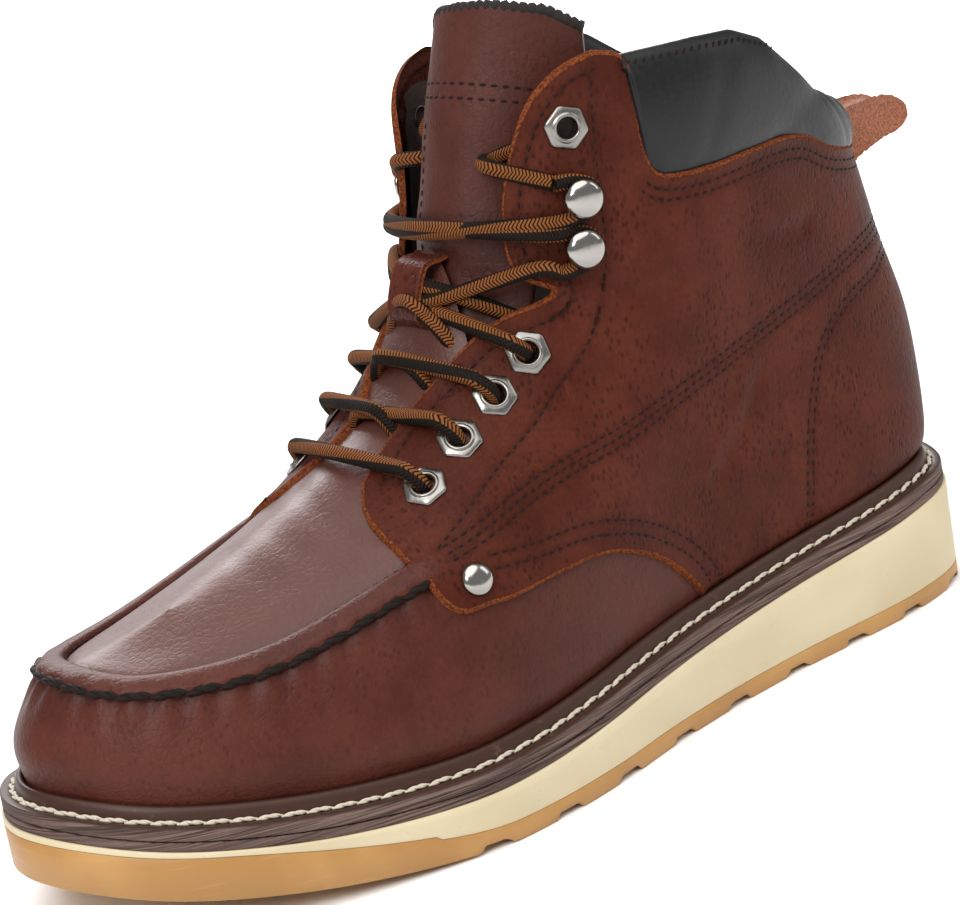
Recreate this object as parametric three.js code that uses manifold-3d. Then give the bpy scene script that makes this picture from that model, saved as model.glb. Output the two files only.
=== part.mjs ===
// Left boot with a moccasin toe on a flat wedge sole. Millimetres; +X to the toe, +Y to the outer side
// of the foot, +Z up. While it is built, X starts at the back of the heel; the last lines put the
// origin at the middle of the footprint.
import * as THREE from "three";
import Module from "manifold-3d";

const wasm = await Module();
wasm.setup();

// Overall sizes
const LENGTH = 305;
const BALL_WIDTH = 111;
const UPPER_HEIGHT = 157;
const GAP = 0.3;

// Sole, bottom to top
const HEEL_LIFT = 30.7;
const BALL_LIFT = 13.6;
const TOE_LIFT = 29.5;
const TOE_SPRING = 16.2;
const GUM = 5.2;
const TOE_GUM = 6.2;
const GUM_STEP = 1.2;
const MIDSOLE = 2.1;
const MIDSOLE_SET_BACK = 0.8;
const LUG_PITCH = 24;
const LUG_NOTCH = 9;
const LUG_DEPTH = 1.7;
const WELT_REACH = 7.5;
const RIB_HEIGHT = 8.2;
const FEATHER_HEIGHT = 7;
const INSOLE = 3;

// Upper
const WALL = 2.2;
const QUARTER_STEP = 1.3;
const RIM_WIDTH = 8;
const RIM_HEIGHT = 2.2;
const BULGE_HEIGHT = 18;
const PAD_OUTER = 2.6;
const PAD_INNER = 5.5;
const TONGUE = 3.4;
const KEEPER_LENGTH = 22;
const KEEPER_HEIGHT = 7.4;
const KEEPER_WIDTH = 13;
const KEEPER_SHARE = 0.34;
const KEEPER_LIFT = 0.8;
const BACKSTAY_WIDTH = 15;
const BACKSTAY = 1.4;
const LOOP_LENGTH = 22;
const LOOP_WIDTH = 14;

// Metal and lace
const EYELET_ACROSS = 11.5;
const EYELET_HOLE = 7;
const PRESS = 12.4;
const EYELET = 1;
const HOOK_DISC = 11;
const HOOK_POST = 4;
const HOOK_HEIGHT = 5;
const RIVET = 8.5;
const LACE = 4.2;
const LACE_SIDES = 6;
const LACE_LIP = 6.5;
const LACE_TURN = 2.3;
const LACE_RISE = 4.2;
const LACE_GAP = 1;

// Stations round the last, from the middle of the heel's back along each side to the toe's tip.
// along: share of LENGTH. lateral and medial: shares of BALL_WIDTH. height: share of UPPER_HEIGHT
// above the seat. bulge: how far the upper swells over the welt, a share of WELT_REACH.
const SOLE_EDGE = [
  { along: 0, lateral: 0, medial: 0, bulge: 0.32 },
  { along: 0.033, lateral: 0.243, medial: -0.216, bulge: 0.32 },
  { along: 0.125, lateral: 0.342, medial: -0.33, bulge: 0.3 },
  { along: 0.28, lateral: 0.366, medial: -0.315, bulge: 0.27 },
  { along: 0.38, lateral: 0.396, medial: -0.31, bulge: 0.32 },
  { along: 0.46, lateral: 0.437, medial: -0.333, bulge: 0.37 },
  { along: 0.54, lateral: 0.491, medial: -0.378, bulge: 0.4 },
  { along: 0.62, lateral: 0.522, medial: -0.437, bulge: 0.4 },
  { along: 0.705, lateral: 0.514, medial: -0.477, bulge: 0.37 },
  { along: 0.845, lateral: 0.405, medial: -0.473, bulge: 0.24 },
  { along: 0.95, lateral: 0.24, medial: -0.333, bulge: 0.08 },
  { along: 1, lateral: -0.045, medial: -0.045, bulge: 0.03 },
];
const MID_LINE = [
  { along: 0.016, height: 0.3, lateral: 0, medial: 0 },
  { along: 0.039, height: 0.305, lateral: 0.18, medial: -0.17 },
  { along: 0.118, height: 0.32, lateral: 0.275, medial: -0.26 },
  { along: 0.275, height: 0.34, lateral: 0.315, medial: -0.29 },
  { along: 0.367, height: 0.35, lateral: 0.34, medial: -0.3 },
  { along: 0.452, height: 0.357, lateral: 0.37, medial: -0.315 },
  { along: 0.538, height: 0.35, lateral: 0.39, medial: -0.34 },
  { along: 0.616, height: 0.334, lateral: 0.41, medial: -0.36 },
  { along: 0.695, height: 0.31, lateral: 0.385, medial: -0.37 },
  { along: 0.82, height: 0.242, lateral: 0.311, medial: -0.35 },
  { along: 0.915, height: 0.218, lateral: 0.171, medial: -0.234 },
  { along: 0.943, height: 0.222, lateral: -0.036, medial: -0.036 },
];
const INSTEP_LINE = [
  { along: 0.036, height: 0.476, lateral: 0, medial: 0 },
  { along: 0.056, height: 0.484, lateral: 0.158, medial: -0.15 },
  { along: 0.131, height: 0.522, lateral: 0.26, medial: -0.25 },
  { along: 0.272, height: 0.6, lateral: 0.333, medial: -0.32 },
  { along: 0.364, height: 0.625, lateral: 0.347, medial: -0.333 },
  { along: 0.459, height: 0.637, lateral: 0.284, medial: -0.275 },
  { along: 0.525, height: 0.537, lateral: 0.243, medial: -0.235 },
  { along: 0.6, height: 0.46, lateral: 0.248, medial: -0.235 },
  { along: 0.679, height: 0.388, lateral: 0.225, medial: -0.216 },
  { along: 0.803, height: 0.304, lateral: 0.17, medial: -0.19 },
  { along: 0.865, height: 0.27, lateral: 0.09, medial: -0.126 },
  { along: 0.885, height: 0.268, lateral: -0.031, medial: -0.031 },
];
const RIDGE_LINE = [
  { along: 0.062, height: 0.755, lateral: 0, medial: 0 },
  { along: 0.082, height: 0.765, lateral: 0.144, medial: -0.135 },
  { along: 0.144, height: 0.85, lateral: 0.28, medial: -0.27 },
  { along: 0.269, height: 0.99, lateral: 0.378, medial: -0.37 },
  { along: 0.37, height: 1.028, lateral: 0.342, medial: -0.333 },
  { along: 0.459, height: 1.038, lateral: 0.252, medial: -0.243 },
  { along: 0.495, height: 0.828, lateral: 0, medial: 0 },
  { along: 0.577, height: 0.551, lateral: 0, medial: 0 },
  { along: 0.672, height: 0.444, lateral: 0, medial: 0 },
  { along: 0.787, height: 0.35, lateral: 0, medial: 0 },
  { along: 0.82, height: 0.325, lateral: 0, medial: 0 },
  { along: 0.833, height: 0.317, lateral: 0, medial: 0 },
];
const LAST_STATION = SOLE_EDGE.length - 1;
const COLUMNS_PER_STATION = [3, 3, 3, 2, 2, 2, 2, 2, 3, 4, 4];
const TOP_LEVEL = 5;
const SEAM_LEVEL = 3;

// Lines on the side of the upper: along is a share of LENGTH, up a share of UPPER_HEIGHT from the floor.
// The leather's top edge, from the back of the heel over the eyestay's ear and down to the throat.
const TOP_EDGE = [
  { along: -0.2, up: 0.837 }, { along: 0.062, up: 0.837 }, { along: 0.1, up: 0.848 },
  { along: 0.138, up: 0.87 }, { along: 0.172, up: 0.904 }, { along: 0.21, up: 0.92 },
  { along: 0.313, up: 0.918 }, { along: 0.353, up: 0.928 }, { along: 0.366, up: 0.945 },
  { along: 0.373, up: 0.996 }, { along: 0.373, up: 1.12 }, { along: 0.378, up: 1.146 },
  { along: 0.392, up: 1.153 }, { along: 0.43, up: 1.139 }, { along: 0.455, up: 1.102 },
  { along: 0.47, up: 1.025 }, { along: 0.48, up: 0.948 }, { along: 0.487, up: 0.868 },
  { along: 0.487, up: 0.82 }, { along: 0.48, up: 0.8 }, { along: 0.464, up: 0.79 },
  { along: 0.473, up: 0.772 }, { along: 0.5, up: 0.758 }, { along: 1.3, up: 0.758 },
];
// The quarter's raw edge, from the throat down over the vamp and back to the welt.
const QUARTER_EDGE = [
  { along: 0.651, up: 0.62 }, { along: 0.651, up: 0.552 }, { along: 0.666, up: 0.524 },
  { along: 0.672, up: 0.496 }, { along: 0.672, up: 0.459 }, { along: 0.67, up: 0.429 },
  { along: 0.662, up: 0.392 }, { along: 0.651, up: 0.376 }, { along: 0.631, up: 0.38 },
  { along: 0.551, up: 0.378 }, { along: 0.498, up: 0.373 }, { along: 0.451, up: 0.339 },
  { along: 0.421, up: 0.302 }, { along: 0.391, up: 0.246 }, { along: 0.37, up: 0.17 },
];
// The throat seen from above: half its width as a share of BALL_WIDTH.
const THROAT = [
  { along: 0.462, half: 0.27 }, { along: 0.504, half: 0.217 }, { along: 0.53, half: 0.176 },
  { along: 0.564, half: 0.141 }, { along: 0.593, half: 0.106 }, { along: 0.639, half: 0.114 },
  { along: 0.651, half: 0.122 },
];
const THROAT_LOW = 0.35;
const THROAT_HIGH = 0.77;
// The collar's rolled top, seen from the side.
const COLLAR_TOP = [
  { along: 0.05, up: 0.93 }, { along: 0.1, up: 0.945 }, { along: 0.143, up: 0.985 },
  { along: 0.17, up: 1.03 }, { along: 0.216, up: 1.101 }, { along: 0.254, up: 1.13 },
  { along: 0.3, up: 1.137 }, { along: 0.4, up: 1.142 },
];
// The tongue's outer face on the middle line, above the instep. half: share of BALL_WIDTH. drop: how
// far its edges lie back, a share of its half width. sag: how far they hang, a share of UPPER_HEIGHT.
const TONGUE_FREE = [
  { along: 0.511, up: 0.9, half: 0.205, drop: 0.95, sag: 0 },
  { along: 0.5, up: 0.97, half: 0.208, drop: 1.02, sag: 0 },
  { along: 0.484, up: 1.075, half: 0.22, drop: 1.05, sag: 0 },
  { along: 0.465, up: 1.175, half: 0.232, drop: 1.05, sag: 0.02 },
  { along: 0.4525, up: 1.248, half: 0.225, drop: 0.98, sag: 0.06 },
];
const TONGUE_STEPS = 10;
// Eyelets from the toe up, then the hooks: shares of LENGTH and of UPPER_HEIGHT from the floor.
const EYELETS = [
  { along: 0.6245, up: 0.543 }, { along: 0.5805, up: 0.596 }, { along: 0.5375, up: 0.646 },
  { along: 0.5, up: 0.7 }, { along: 0.433, up: 1.048 },
];
const HOOKS = [{ along: 0.439, up: 0.852 }, { along: 0.433, up: 0.934 }];
const RIVET_AT = { along: 0.634, up: 0.414 };
// Where the lace crosses the ridge, from the straight bar up: along the boot, and lift over the ridge.
const BAR = { along: 0.642, lift: 3 };
const CROSSINGS = [{ along: 0.616, lift: 3 }, { along: 0.587, lift: 3 }, { along: 0.557, lift: 3 }];
const EAR_EDGE = { along: 0.474, lift: 0.8 };
const UPPER_CROSSING = { along: 0.523, up: 0.918 };
// Each end of the lace, from the upper hook round the ear's front edge to the back of the top eyelet.
const LACE_END = [
  { along: 0.485, half: 0.268, up: 1.005 }, { along: 0.489, half: 0.222, up: 1.022 },
  { along: 0.477, half: 0.172, up: 1.034 },
];

const materials = {
  gum: new THREE.MeshStandardMaterial({ color: 0xd09a50, roughness: 0.6, metalness: 0 }),
  cream: new THREE.MeshStandardMaterial({ color: 0xeadfbe, roughness: 0.75, metalness: 0 }),
  stacked: new THREE.MeshStandardMaterial({ color: 0x6a4a3e, roughness: 0.7, metalness: 0 }),
  welt: new THREE.MeshStandardMaterial({ color: 0x4a2b20, roughness: 0.5, metalness: 0 }),
  insole: new THREE.MeshStandardMaterial({ color: 0x8a6f55, roughness: 0.85, metalness: 0 }),
  leather: new THREE.MeshStandardMaterial({ color: 0x6a2d24, roughness: 0.45, metalness: 0 }),
  suede: new THREE.MeshStandardMaterial({ color: 0xb0562a, roughness: 0.9, metalness: 0 }),
  collar: new THREE.MeshStandardMaterial({ color: 0x26282a, roughness: 0.4, metalness: 0 }),
  nickel: new THREE.MeshStandardMaterial({ color: 0xb9bab8, roughness: 0.25, metalness: 1 }),
  lace: new THREE.MeshStandardMaterial({ color: 0x6b4026, roughness: 0.8, metalness: 0 }),
};

const boot = new THREE.Group();

// Solids

// Joins shared corners, drops faces that have collapsed and makes a solid of the rest.
function solidFrom(points, faces) {
  const numbers = new Map();
  const merged = [];
  const renamed = points.map((point) => {
    const key = [point.x, point.y, point.z].map((value) => Math.round(value * 5000)).join(",");
    if (!numbers.has(key)) {
      numbers.set(key, merged.length / 3);
      merged.push(point.x, point.y, point.z);
    }
    return numbers.get(key);
  });
  const triangles = [];
  for (const face of faces) {
    const [a, b, c] = face.map((corner) => renamed[corner]);
    if (a !== b && b !== c && c !== a) triangles.push(a, b, c);
  }
  const mesh = new wasm.Mesh({
    numProp: 3,
    vertProperties: new Float32Array(merged),
    triVerts: new Uint32Array(triangles),
  });
  return new wasm.Manifold(mesh);
}

function solidFromGeometry(geometry) {
  const plain = geometry.index ? geometry.toNonIndexed() : geometry;
  const position = plain.getAttribute("position");
  const points = [];
  const faces = [];
  for (let corner = 0; corner < position.count; corner += 1) {
    points.push(new THREE.Vector3().fromBufferAttribute(position, corner));
  }
  for (let corner = 0; corner < position.count; corner += 3) {
    faces.push([corner, corner + 1, corner + 2]);
  }
  return solidFrom(points, faces);
}

// A stack of closed rings with the same number of points each, closed by fans at both ends.
function loft(rings) {
  const size = rings[0].length;
  const points = rings.flat();
  const faces = [];
  for (let ring = 0; ring < rings.length - 1; ring += 1) {
    for (let corner = 0; corner < size; corner += 1) {
      const next = (corner + 1) % size;
      const low = ring * size;
      const high = low + size;
      faces.push([low + corner, low + next, high + next], [low + corner, high + next, high + corner]);
    }
  }
  for (const [ring, turn] of [[0, false], [rings.length - 1, true]]) {
    const centre = new THREE.Vector3();
    for (const point of rings[ring]) centre.addScaledVector(point, 1 / size);
    points.push(centre);
    for (let corner = 0; corner < size; corner += 1) {
      const here = ring * size + corner;
      const next = ring * size + ((corner + 1) % size);
      faces.push(turn ? [here, next, points.length - 1] : [next, here, points.length - 1]);
    }
  }
  const solid = solidFrom(points, faces);
  if (solid.volume() > 0) return solid;
  return solidFrom(points, faces.map(([a, b, c]) => [a, c, b]));
}

// A ring of closed sections that joins up with itself.
function ringLoft(sections) {
  const size = sections[0].length;
  const faces = [];
  for (let section = 0; section < sections.length; section += 1) {
    const after = (section + 1) % sections.length;
    for (let corner = 0; corner < size; corner += 1) {
      const next = (corner + 1) % size;
      const here = section * size;
      const there = after * size;
      faces.push([here + corner, here + next, there + next], [here + corner, there + next, there + corner]);
    }
  }
  const solid = solidFrom(sections.flat(), faces);
  if (solid.volume() > 0) return solid;
  return solidFrom(sections.flat(), faces.map(([a, b, c]) => [a, c, b]));
}

// An outline of [x, z] points drawn across the boot, from y = low to y = high.
function sidePrism(outline, low, high) {
  const shape = new THREE.Shape(outline.map(([x, z]) => new THREE.Vector2(x, z)));
  const geometry = new THREE.ExtrudeGeometry(shape, { depth: high - low, bevelEnabled: false });
  geometry.rotateX(Math.PI / 2);
  geometry.translate(0, high, 0);
  return solidFromGeometry(geometry);
}

// An outline of [x, y] points drawn upwards, from z = low to z = high.
function planPrism(outline, low, high) {
  const shape = new THREE.Shape(outline.map(([x, y]) => new THREE.Vector2(x, y)));
  const geometry = new THREE.ExtrudeGeometry(shape, { depth: high - low, bevelEnabled: false });
  geometry.translate(0, 0, low);
  return solidFromGeometry(geometry);
}

function addPiece(name, solid, material) {
  const { numProp, vertProperties, triVerts } = solid.getMesh();
  const positions = new Float32Array((vertProperties.length / numProp) * 3);
  for (let vertex = 0; vertex < positions.length / 3; vertex += 1) {
    for (let axis = 0; axis < 3; axis += 1) {
      positions[vertex * 3 + axis] = vertProperties[vertex * numProp + axis];
    }
  }
  const geometry = new THREE.BufferGeometry();
  geometry.setAttribute("position", new THREE.BufferAttribute(positions, 3));
  geometry.setIndex(new THREE.BufferAttribute(new Uint32Array(triVerts), 1));
  geometry.computeVertexNormals();
  const mesh = new THREE.Mesh(geometry, material);
  mesh.name = name;
  boot.add(mesh);
}

// Curves

const mix = (from, to, share) => from + (to - from) * share;

function smoothStep(from, to, value) {
  const share = Math.min(1, Math.max(0, (value - from) / (to - from)));
  return share * share * (3 - 2 * share);
}

// The cubic from b to c that heads for its neighbours a and d.
function cubic(a, b, c, d, share) {
  const square = share * share;
  const cube = square * share;
  return (2 * cube - 3 * square + 1) * b + ((cube - 2 * square + share) * (c - a)) / 2
    + (3 * square - 2 * cube) * c + ((cube - square) * (d - b)) / 2;
}

// The value at a station of a column that runs up one side of the last and down the other.
function roundTheLast(rows, here, there, station) {
  const last = rows.length - 1;
  const value = (row) => {
    if (row < 0) return rows[-row][there];
    if (row > last) return rows[2 * last - row][there];
    return rows[row][here];
  };
  const row = Math.min(last - 1, Math.floor(station));
  return cubic(value(row - 1), value(row), value(row + 1), value(row + 2), station - row);
}

function sideKeys(side) {
  return side > 0 ? ["lateral", "medial"] : ["medial", "lateral"];
}

// A curve through the rows of a line, read by the share of its length.
function through(points) {
  return new THREE.CatmullRomCurve3(points, false, "centripetal");
}

// Heights of the sole, by the distance from the back of the heel

const BALL_AT = 0.672;
const SPRING_FROM = 0.62;
const LIFT_FROM = 0.59;
const GUM_THICKENS = [0.65, 0.9];
const GUM_STEP_AT = 0.73;

function rise(x, from) {
  return Math.max(0, (x / LENGTH - from) / (1 - from)) ** 2;
}

function soleBottom(x) {
  return TOE_SPRING * rise(x, SPRING_FROM);
}

function wedgeTop(x) {
  const slope = (BALL_LIFT - HEEL_LIFT) / BALL_AT;
  return HEEL_LIFT + slope * (x / LENGTH) + (TOE_LIFT - HEEL_LIFT - slope) * rise(x, LIFT_FROM);
}

function gumTop(x) {
  const share = x / LENGTH;
  const step = share > GUM_STEP_AT ? GUM_STEP : 0;
  return soleBottom(x) + GUM + step + (TOE_GUM - step) * smoothStep(...GUM_THICKENS, share);
}

function seat(x) {
  return wedgeTop(x) + GAP + MIDSOLE;
}

// The last

// A point of the sole's edge, moved inwards by inset.
function soleEdge(station, side, inset) {
  const [here, there] = sideKeys(side);
  const at = (place) => [
    roundTheLast(SOLE_EDGE, "along", "along", place) * LENGTH,
    roundTheLast(SOLE_EDGE, here, there, place) * BALL_WIDTH,
  ];
  const [x, y] = at(station);
  const [backX, backY] = at(Math.max(0, station - 0.001));
  const [frontX, frontY] = at(Math.min(LAST_STATION, station + 0.001));
  const length = Math.hypot(frontX - backX, frontY - backY);
  return [
    x + (side * inset * (frontY - backY)) / length,
    y - (side * inset * (frontX - backX)) / length,
  ];
}

function levelPoint(rows, station, side) {
  const [here, there] = sideKeys(side);
  const x = roundTheLast(rows, "along", "along", station) * LENGTH;
  const height = roundTheLast(rows, "height", "height", station) * UPPER_HEIGHT;
  let y = roundTheLast(rows, here, there, station) * BALL_WIDTH;
  if (rows === RIDGE_LINE) y = side > 0 ? Math.max(0, y) : Math.min(0, y);
  return new THREE.Vector3(x, y, seat(x) + height);
}

function bulgeAt(station) {
  const row = Math.min(LAST_STATION - 1, Math.floor(station));
  return mix(SOLE_EDGE[row].bulge, SOLE_EDGE[row + 1].bulge, station - row) * WELT_REACH;
}

// Six points up one rail of the last, from the seat to the collar or the ridge.
function railPoints(station, side) {
  const [footX, footY] = soleEdge(station, side, WELT_REACH);
  const [bulgeX, bulgeY] = soleEdge(station, side, WELT_REACH - bulgeAt(station));
  return [
    new THREE.Vector3(footX, footY, seat(footX) + GAP),
    new THREE.Vector3(footX, footY, seat(footX) + FEATHER_HEIGHT),
    new THREE.Vector3(bulgeX, bulgeY, seat(bulgeX) + BULGE_HEIGHT),
    levelPoint(MID_LINE, station, side),
    levelPoint(INSTEP_LINE, station, side),
    levelPoint(RIDGE_LINE, station, side),
  ];
}

// The last's surface at a station and a level. The rails bend sharply at the toe's seam and cross the
// ridge smoothly.
const CREASE_FROM = 6.9;
const CREASE_TO = 7.8;
const RIDGE_FROM = 5.2;
const RIDGE_TO = 6;

function lastPoint(station, side, level) {
  const rail = railPoints(station, side);
  const across = levelPoint(INSTEP_LINE, station, -side);
  const crease = smoothStep(CREASE_FROM, CREASE_TO, station);
  const ridge = smoothStep(RIDGE_FROM, RIDGE_TO, station);
  const low = Math.min(TOP_LEVEL - 1, Math.floor(level));
  const share = level - low;
  const result = new THREE.Vector3();
  for (const axis of ["x", "y", "z"]) {
    const value = rail.map((point) => point[axis]);
    const onwards = (end, before) => 2 * value[end] - value[before];
    const beforeSeam = mix(value[4], onwards(3, 2), crease);
    const afterSeam = mix(value[2], onwards(3, 4), crease);
    const beyond = mix(onwards(5, 4), across[axis], ridge);
    if (low === 0) result[axis] = mix(value[0], value[1], share);
    if (low === 1) result[axis] = cubic(onwards(1, 2), value[1], value[2], value[3], share);
    if (low === 2) result[axis] = cubic(value[1], value[2], value[3], beforeSeam, share);
    if (low === 3) result[axis] = cubic(afterSeam, value[3], value[4], value[5], share);
    if (low === 4) result[axis] = cubic(value[3], value[4], value[5], beyond, share);
  }
  return result;
}

function lastNormal(station, side, level) {
  const step = 0.004;
  const forward = lastPoint(Math.min(LAST_STATION, station + step), side, level)
    .sub(lastPoint(Math.max(0, station - step), side, level));
  const up = lastPoint(station, side, Math.min(TOP_LEVEL - 1e-6, level + step))
    .sub(lastPoint(station, side, level - step));
  return up.cross(forward).multiplyScalar(side).normalize();
}

// Distance from the toe's seam, over the plug, measured along a rail.
function seamLevel(station, side, distance) {
  const rail = railPoints(station, side);
  return SEAM_LEVEL + distance / rail[4].distanceTo(rail[3]);
}

const RIM_SHARES = [0, 0.05, 0.25, 0.5, 0.75, 0.95];

function rimHeight(share, station) {
  if (share <= 0 || share >= 1) return 0;
  return RIM_HEIGHT * Math.sqrt(1 - (2 * share - 1) ** 2) * smoothStep(CREASE_FROM, CREASE_TO, station);
}

// The last moved outwards by lift, and by step more from a little above the welt. On the ridge both
// sides share one point.
function liftedPoint(station, side, level, lift, step = 0) {
  const normal = lastNormal(station, side, level);
  const point = lastPoint(station, side, level);
  if (level === TOP_LEVEL && point.y === 0 && station > 1) {
    normal.add(lastNormal(station, -side, level));
    normal.y = 0;
    normal.normalize();
  }
  return point.addScaledVector(normal, lift + step * smoothStep(1, 1.5, level));
}

// The columns of the last, once round: up the outer side and back down the inner one.
function columns(perStation) {
  const stations = [0];
  perStation.forEach((count, station) => {
    for (let step = 1; step <= count; step += 1) stations.push(station + step / count);
  });
  const lateral = stations.map((station) => [station, 1]);
  const medial = stations.slice(1, -1).reverse().map((station) => [station, -1]);
  return [...lateral, ...medial];
}

// The whole last as a solid, moved outwards, from depth below the seat to the collar.
function lastSolid({ lift = 0, step = 0, rim = false, depth = 0, round, levels }) {
  const rows = [];
  const size = round.length;
  for (const level of levels) {
    rows.push(round.map(([station, side]) => liftedPoint(station, side, level, lift, step)));
    if (level === SEAM_LEVEL && rim) {
      for (const share of RIM_SHARES.slice(1)) {
        rows.push(round.map(([station, side]) => {
          const height = lift + rimHeight(share, station);
          return liftedPoint(station, side, seamLevel(station, side, share * RIM_WIDTH), height);
        }));
      }
      rows.push(round.map(([station, side]) => (
        liftedPoint(station, side, seamLevel(station, side, RIM_WIDTH), lift))));
    }
  }
  for (const point of rows[0]) point.z = seat(point.x) + GAP - depth;
  const faces = [];
  for (let row = 0; row < rows.length - 1; row += 1) {
    for (let column = 0; column < size; column += 1) {
      const next = (column + 1) % size;
      const low = row * size;
      const high = low + size;
      faces.push([low + next, low + column, high + next], [low + column, high + column, high + next]);
    }
  }
  const top = (rows.length - 1) * size;
  for (let column = 0; column < size / 2; column += 1) {
    const across = (size - column) % size;
    const acrossNext = size - column - 1;
    faces.push([column, column + 1, acrossNext], [column, acrossNext, across]);
    faces.push([top + column, top + acrossNext, top + column + 1]);
    faces.push([top + column, top + across, top + acrossNext]);
  }
  const solid = solidFrom(rows.flat(), faces);
  if (solid.volume() > 0) return solid;
  return solidFrom(rows.flat(), faces.map(([a, b, c]) => [a, c, b]));
}

const FINE = columns(COLUMNS_PER_STATION);
const COARSE = columns(COLUMNS_PER_STATION.map(() => 2));
const FINE_LEVELS = [0, 1, 1.5, 2, 2.5, SEAM_LEVEL, 3.6, 4, 4.33, 4.67, TOP_LEVEL];
const COARSE_LEVELS = [0, 1, 2, 2.5, SEAM_LEVEL, 3.6, 4, 4.33, 4.67, TOP_LEVEL];
const fine = { round: FINE, levels: FINE_LEVELS };
const coarse = { round: COARSE, levels: COARSE_LEVELS };

// The place on the last that the side view shows at a distance along and a height from the floor.
function place(at, side) {
  const x = at.along * LENGTH;
  const z = at.up * UPPER_HEIGHT;
  const found = { station: 5, level: 3.5 };
  const miss = (station, level) => {
    const point = lastPoint(station, side, level);
    return Math.hypot(point.x - x, point.z - z);
  };
  let reach = 2.5;
  while (reach > 1e-4) {
    let best = miss(found.station, found.level);
    let moved = false;
    for (const [ahead, up] of [[1, 0], [-1, 0], [0, 1], [0, -1], [1, 1], [-1, -1], [1, -1], [-1, 1]]) {
      const station = Math.min(LAST_STATION, Math.max(0, found.station + ahead * reach));
      const level = Math.min(TOP_LEVEL - 0.01, Math.max(1, found.level + up * reach * 0.5));
      const value = miss(station, level);
      if (value < best) {
        best = value;
        Object.assign(found, { station, level });
        moved = true;
        break;
      }
    }
    if (!moved) reach /= 2;
  }
  return found;
}

function sidePoints(rows) {
  return rows.map(({ along, up }) => [along * LENGTH, up * UPPER_HEIGHT]);
}

// Sole

const FAR = 100;
const HIGH = 300;
const SOLE_COLUMNS = columns(COLUMNS_PER_STATION.map((count) => count + 1));

function soleOutline(inset) {
  return SOLE_COLUMNS.map(([station, side]) => soleEdge(station, side, inset));
}

// A curve of heights along the boot, a little past both ends.
function profile(heightAt, steps) {
  const points = [];
  for (let step = 0; step <= steps; step += 1) {
    const x = mix(-1, LENGTH + 1, step / steps);
    points.push([x, heightAt(x)]);
  }
  return points;
}

function treadProfile() {
  const points = [[-1, 0]];
  const treadEnd = GUM_STEP_AT * LENGTH;
  for (let notch = LUG_PITCH / 2; notch + LUG_NOTCH < treadEnd; notch += LUG_PITCH) {
    const slant = LUG_DEPTH / 2;
    points.push([notch, soleBottom(notch)], [notch + slant, soleBottom(notch) + LUG_DEPTH]);
    points.push([notch + LUG_NOTCH - slant, soleBottom(notch + LUG_NOTCH) + LUG_DEPTH]);
    points.push([notch + LUG_NOTCH, soleBottom(notch + LUG_NOTCH)]);
  }
  for (const share of [0.74, 0.78, 0.82, 0.86, 0.9, 0.94, 0.98, 1.004]) {
    points.push([share * LENGTH, soleBottom(share * LENGTH)]);
  }
  return points;
}

// The curve between gum and wedge, with the step where the thick toe piece begins.
function gumProfile(lift) {
  const shares = [0, 0.1, 0.2, 0.3, 0.4, 0.5, 0.6, 0.66, 0.7, GUM_STEP_AT, GUM_STEP_AT + 0.006,
    0.77, 0.81, 0.85, 0.89, 0.93, 0.97];
  const points = shares.map((share) => [share * LENGTH, gumTop(share * LENGTH) + lift]);
  return [[-1, gumTop(0) + lift], ...points.slice(1), [LENGTH + 1, gumTop(LENGTH) + lift]];
}

function buildSole() {
  const outline = planPrism(soleOutline(0), -5, FAR);
  const gum = sidePrism([...treadProfile(), ...gumProfile(0).reverse()], -FAR, FAR);
  addPiece("outsole", outline.intersect(gum), materials.gum);
  const wedgeCurve = profile(wedgeTop, 22);
  const wedge = sidePrism([...gumProfile(GAP), ...wedgeCurve.reverse()], -FAR, FAR);
  addPiece("wedge_midsole", outline.intersect(wedge), materials.cream);
  const low = profile((x) => wedgeTop(x) + GAP, 22);
  const high = profile((x) => seat(x), 22);
  const board = sidePrism([...low, ...high.reverse()], -FAR, FAR);
  const trimmed = planPrism(soleOutline(MIDSOLE_SET_BACK), -5, FAR);
  addPiece("leather_midsole", trimmed.intersect(board), materials.stacked);
}

// The welt: a flat strip that carries the stitches, and the storm rib that closes on the upper.
const WELT_SECTION = [
  { inset: 0.12, up: 0 }, { inset: 0.12, up: 0.41 }, { inset: 0.53, up: 0.49 }, { inset: 0.57, up: 0.7 },
  { inset: 0.66, up: 0.93 }, { inset: 0.79, up: 1 }, { inset: 0.91, up: 0.9 }, { inset: 0.94, up: 0 },
];

function buildWelt() {
  const sections = SOLE_COLUMNS.map(([station, side]) => WELT_SECTION.map(({ inset, up }) => {
    const [x, y] = soleEdge(station, side, inset * WELT_REACH);
    return new THREE.Vector3(x, y, seat(x) + GAP + up * RIB_HEIGHT);
  }));
  addPiece("storm_welt", ringLoft(sections), materials.welt);
}

function buildInsole() {
  const inset = WELT_REACH + WALL + 1;
  const low = profile((x) => seat(x) + GAP, 16);
  const high = profile((x) => seat(x) + GAP + INSOLE, 16);
  const board = sidePrism([...low, ...high.reverse()], -FAR, FAR);
  const round = COARSE.map(([station, side]) => soleEdge(station, side, inset));
  addPiece("insole", planPrism(round, -5, FAR).intersect(board), materials.insole);
}

// Upper

function throatOutline() {
  const lateral = THROAT.map(({ along, half }) => [along * LENGTH, half * BALL_WIDTH]);
  const medial = THROAT.map(({ along, half }) => [along * LENGTH, -half * BALL_WIDTH * 0.92]);
  return [...lateral, ...medial.reverse()];
}

function frameAt(at, side, lift) {
  const { station, level } = place(at, side);
  const normal = lastNormal(station, side, level);
  return { point: lastPoint(station, side, level).addScaledVector(normal, lift), normal };
}

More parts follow.
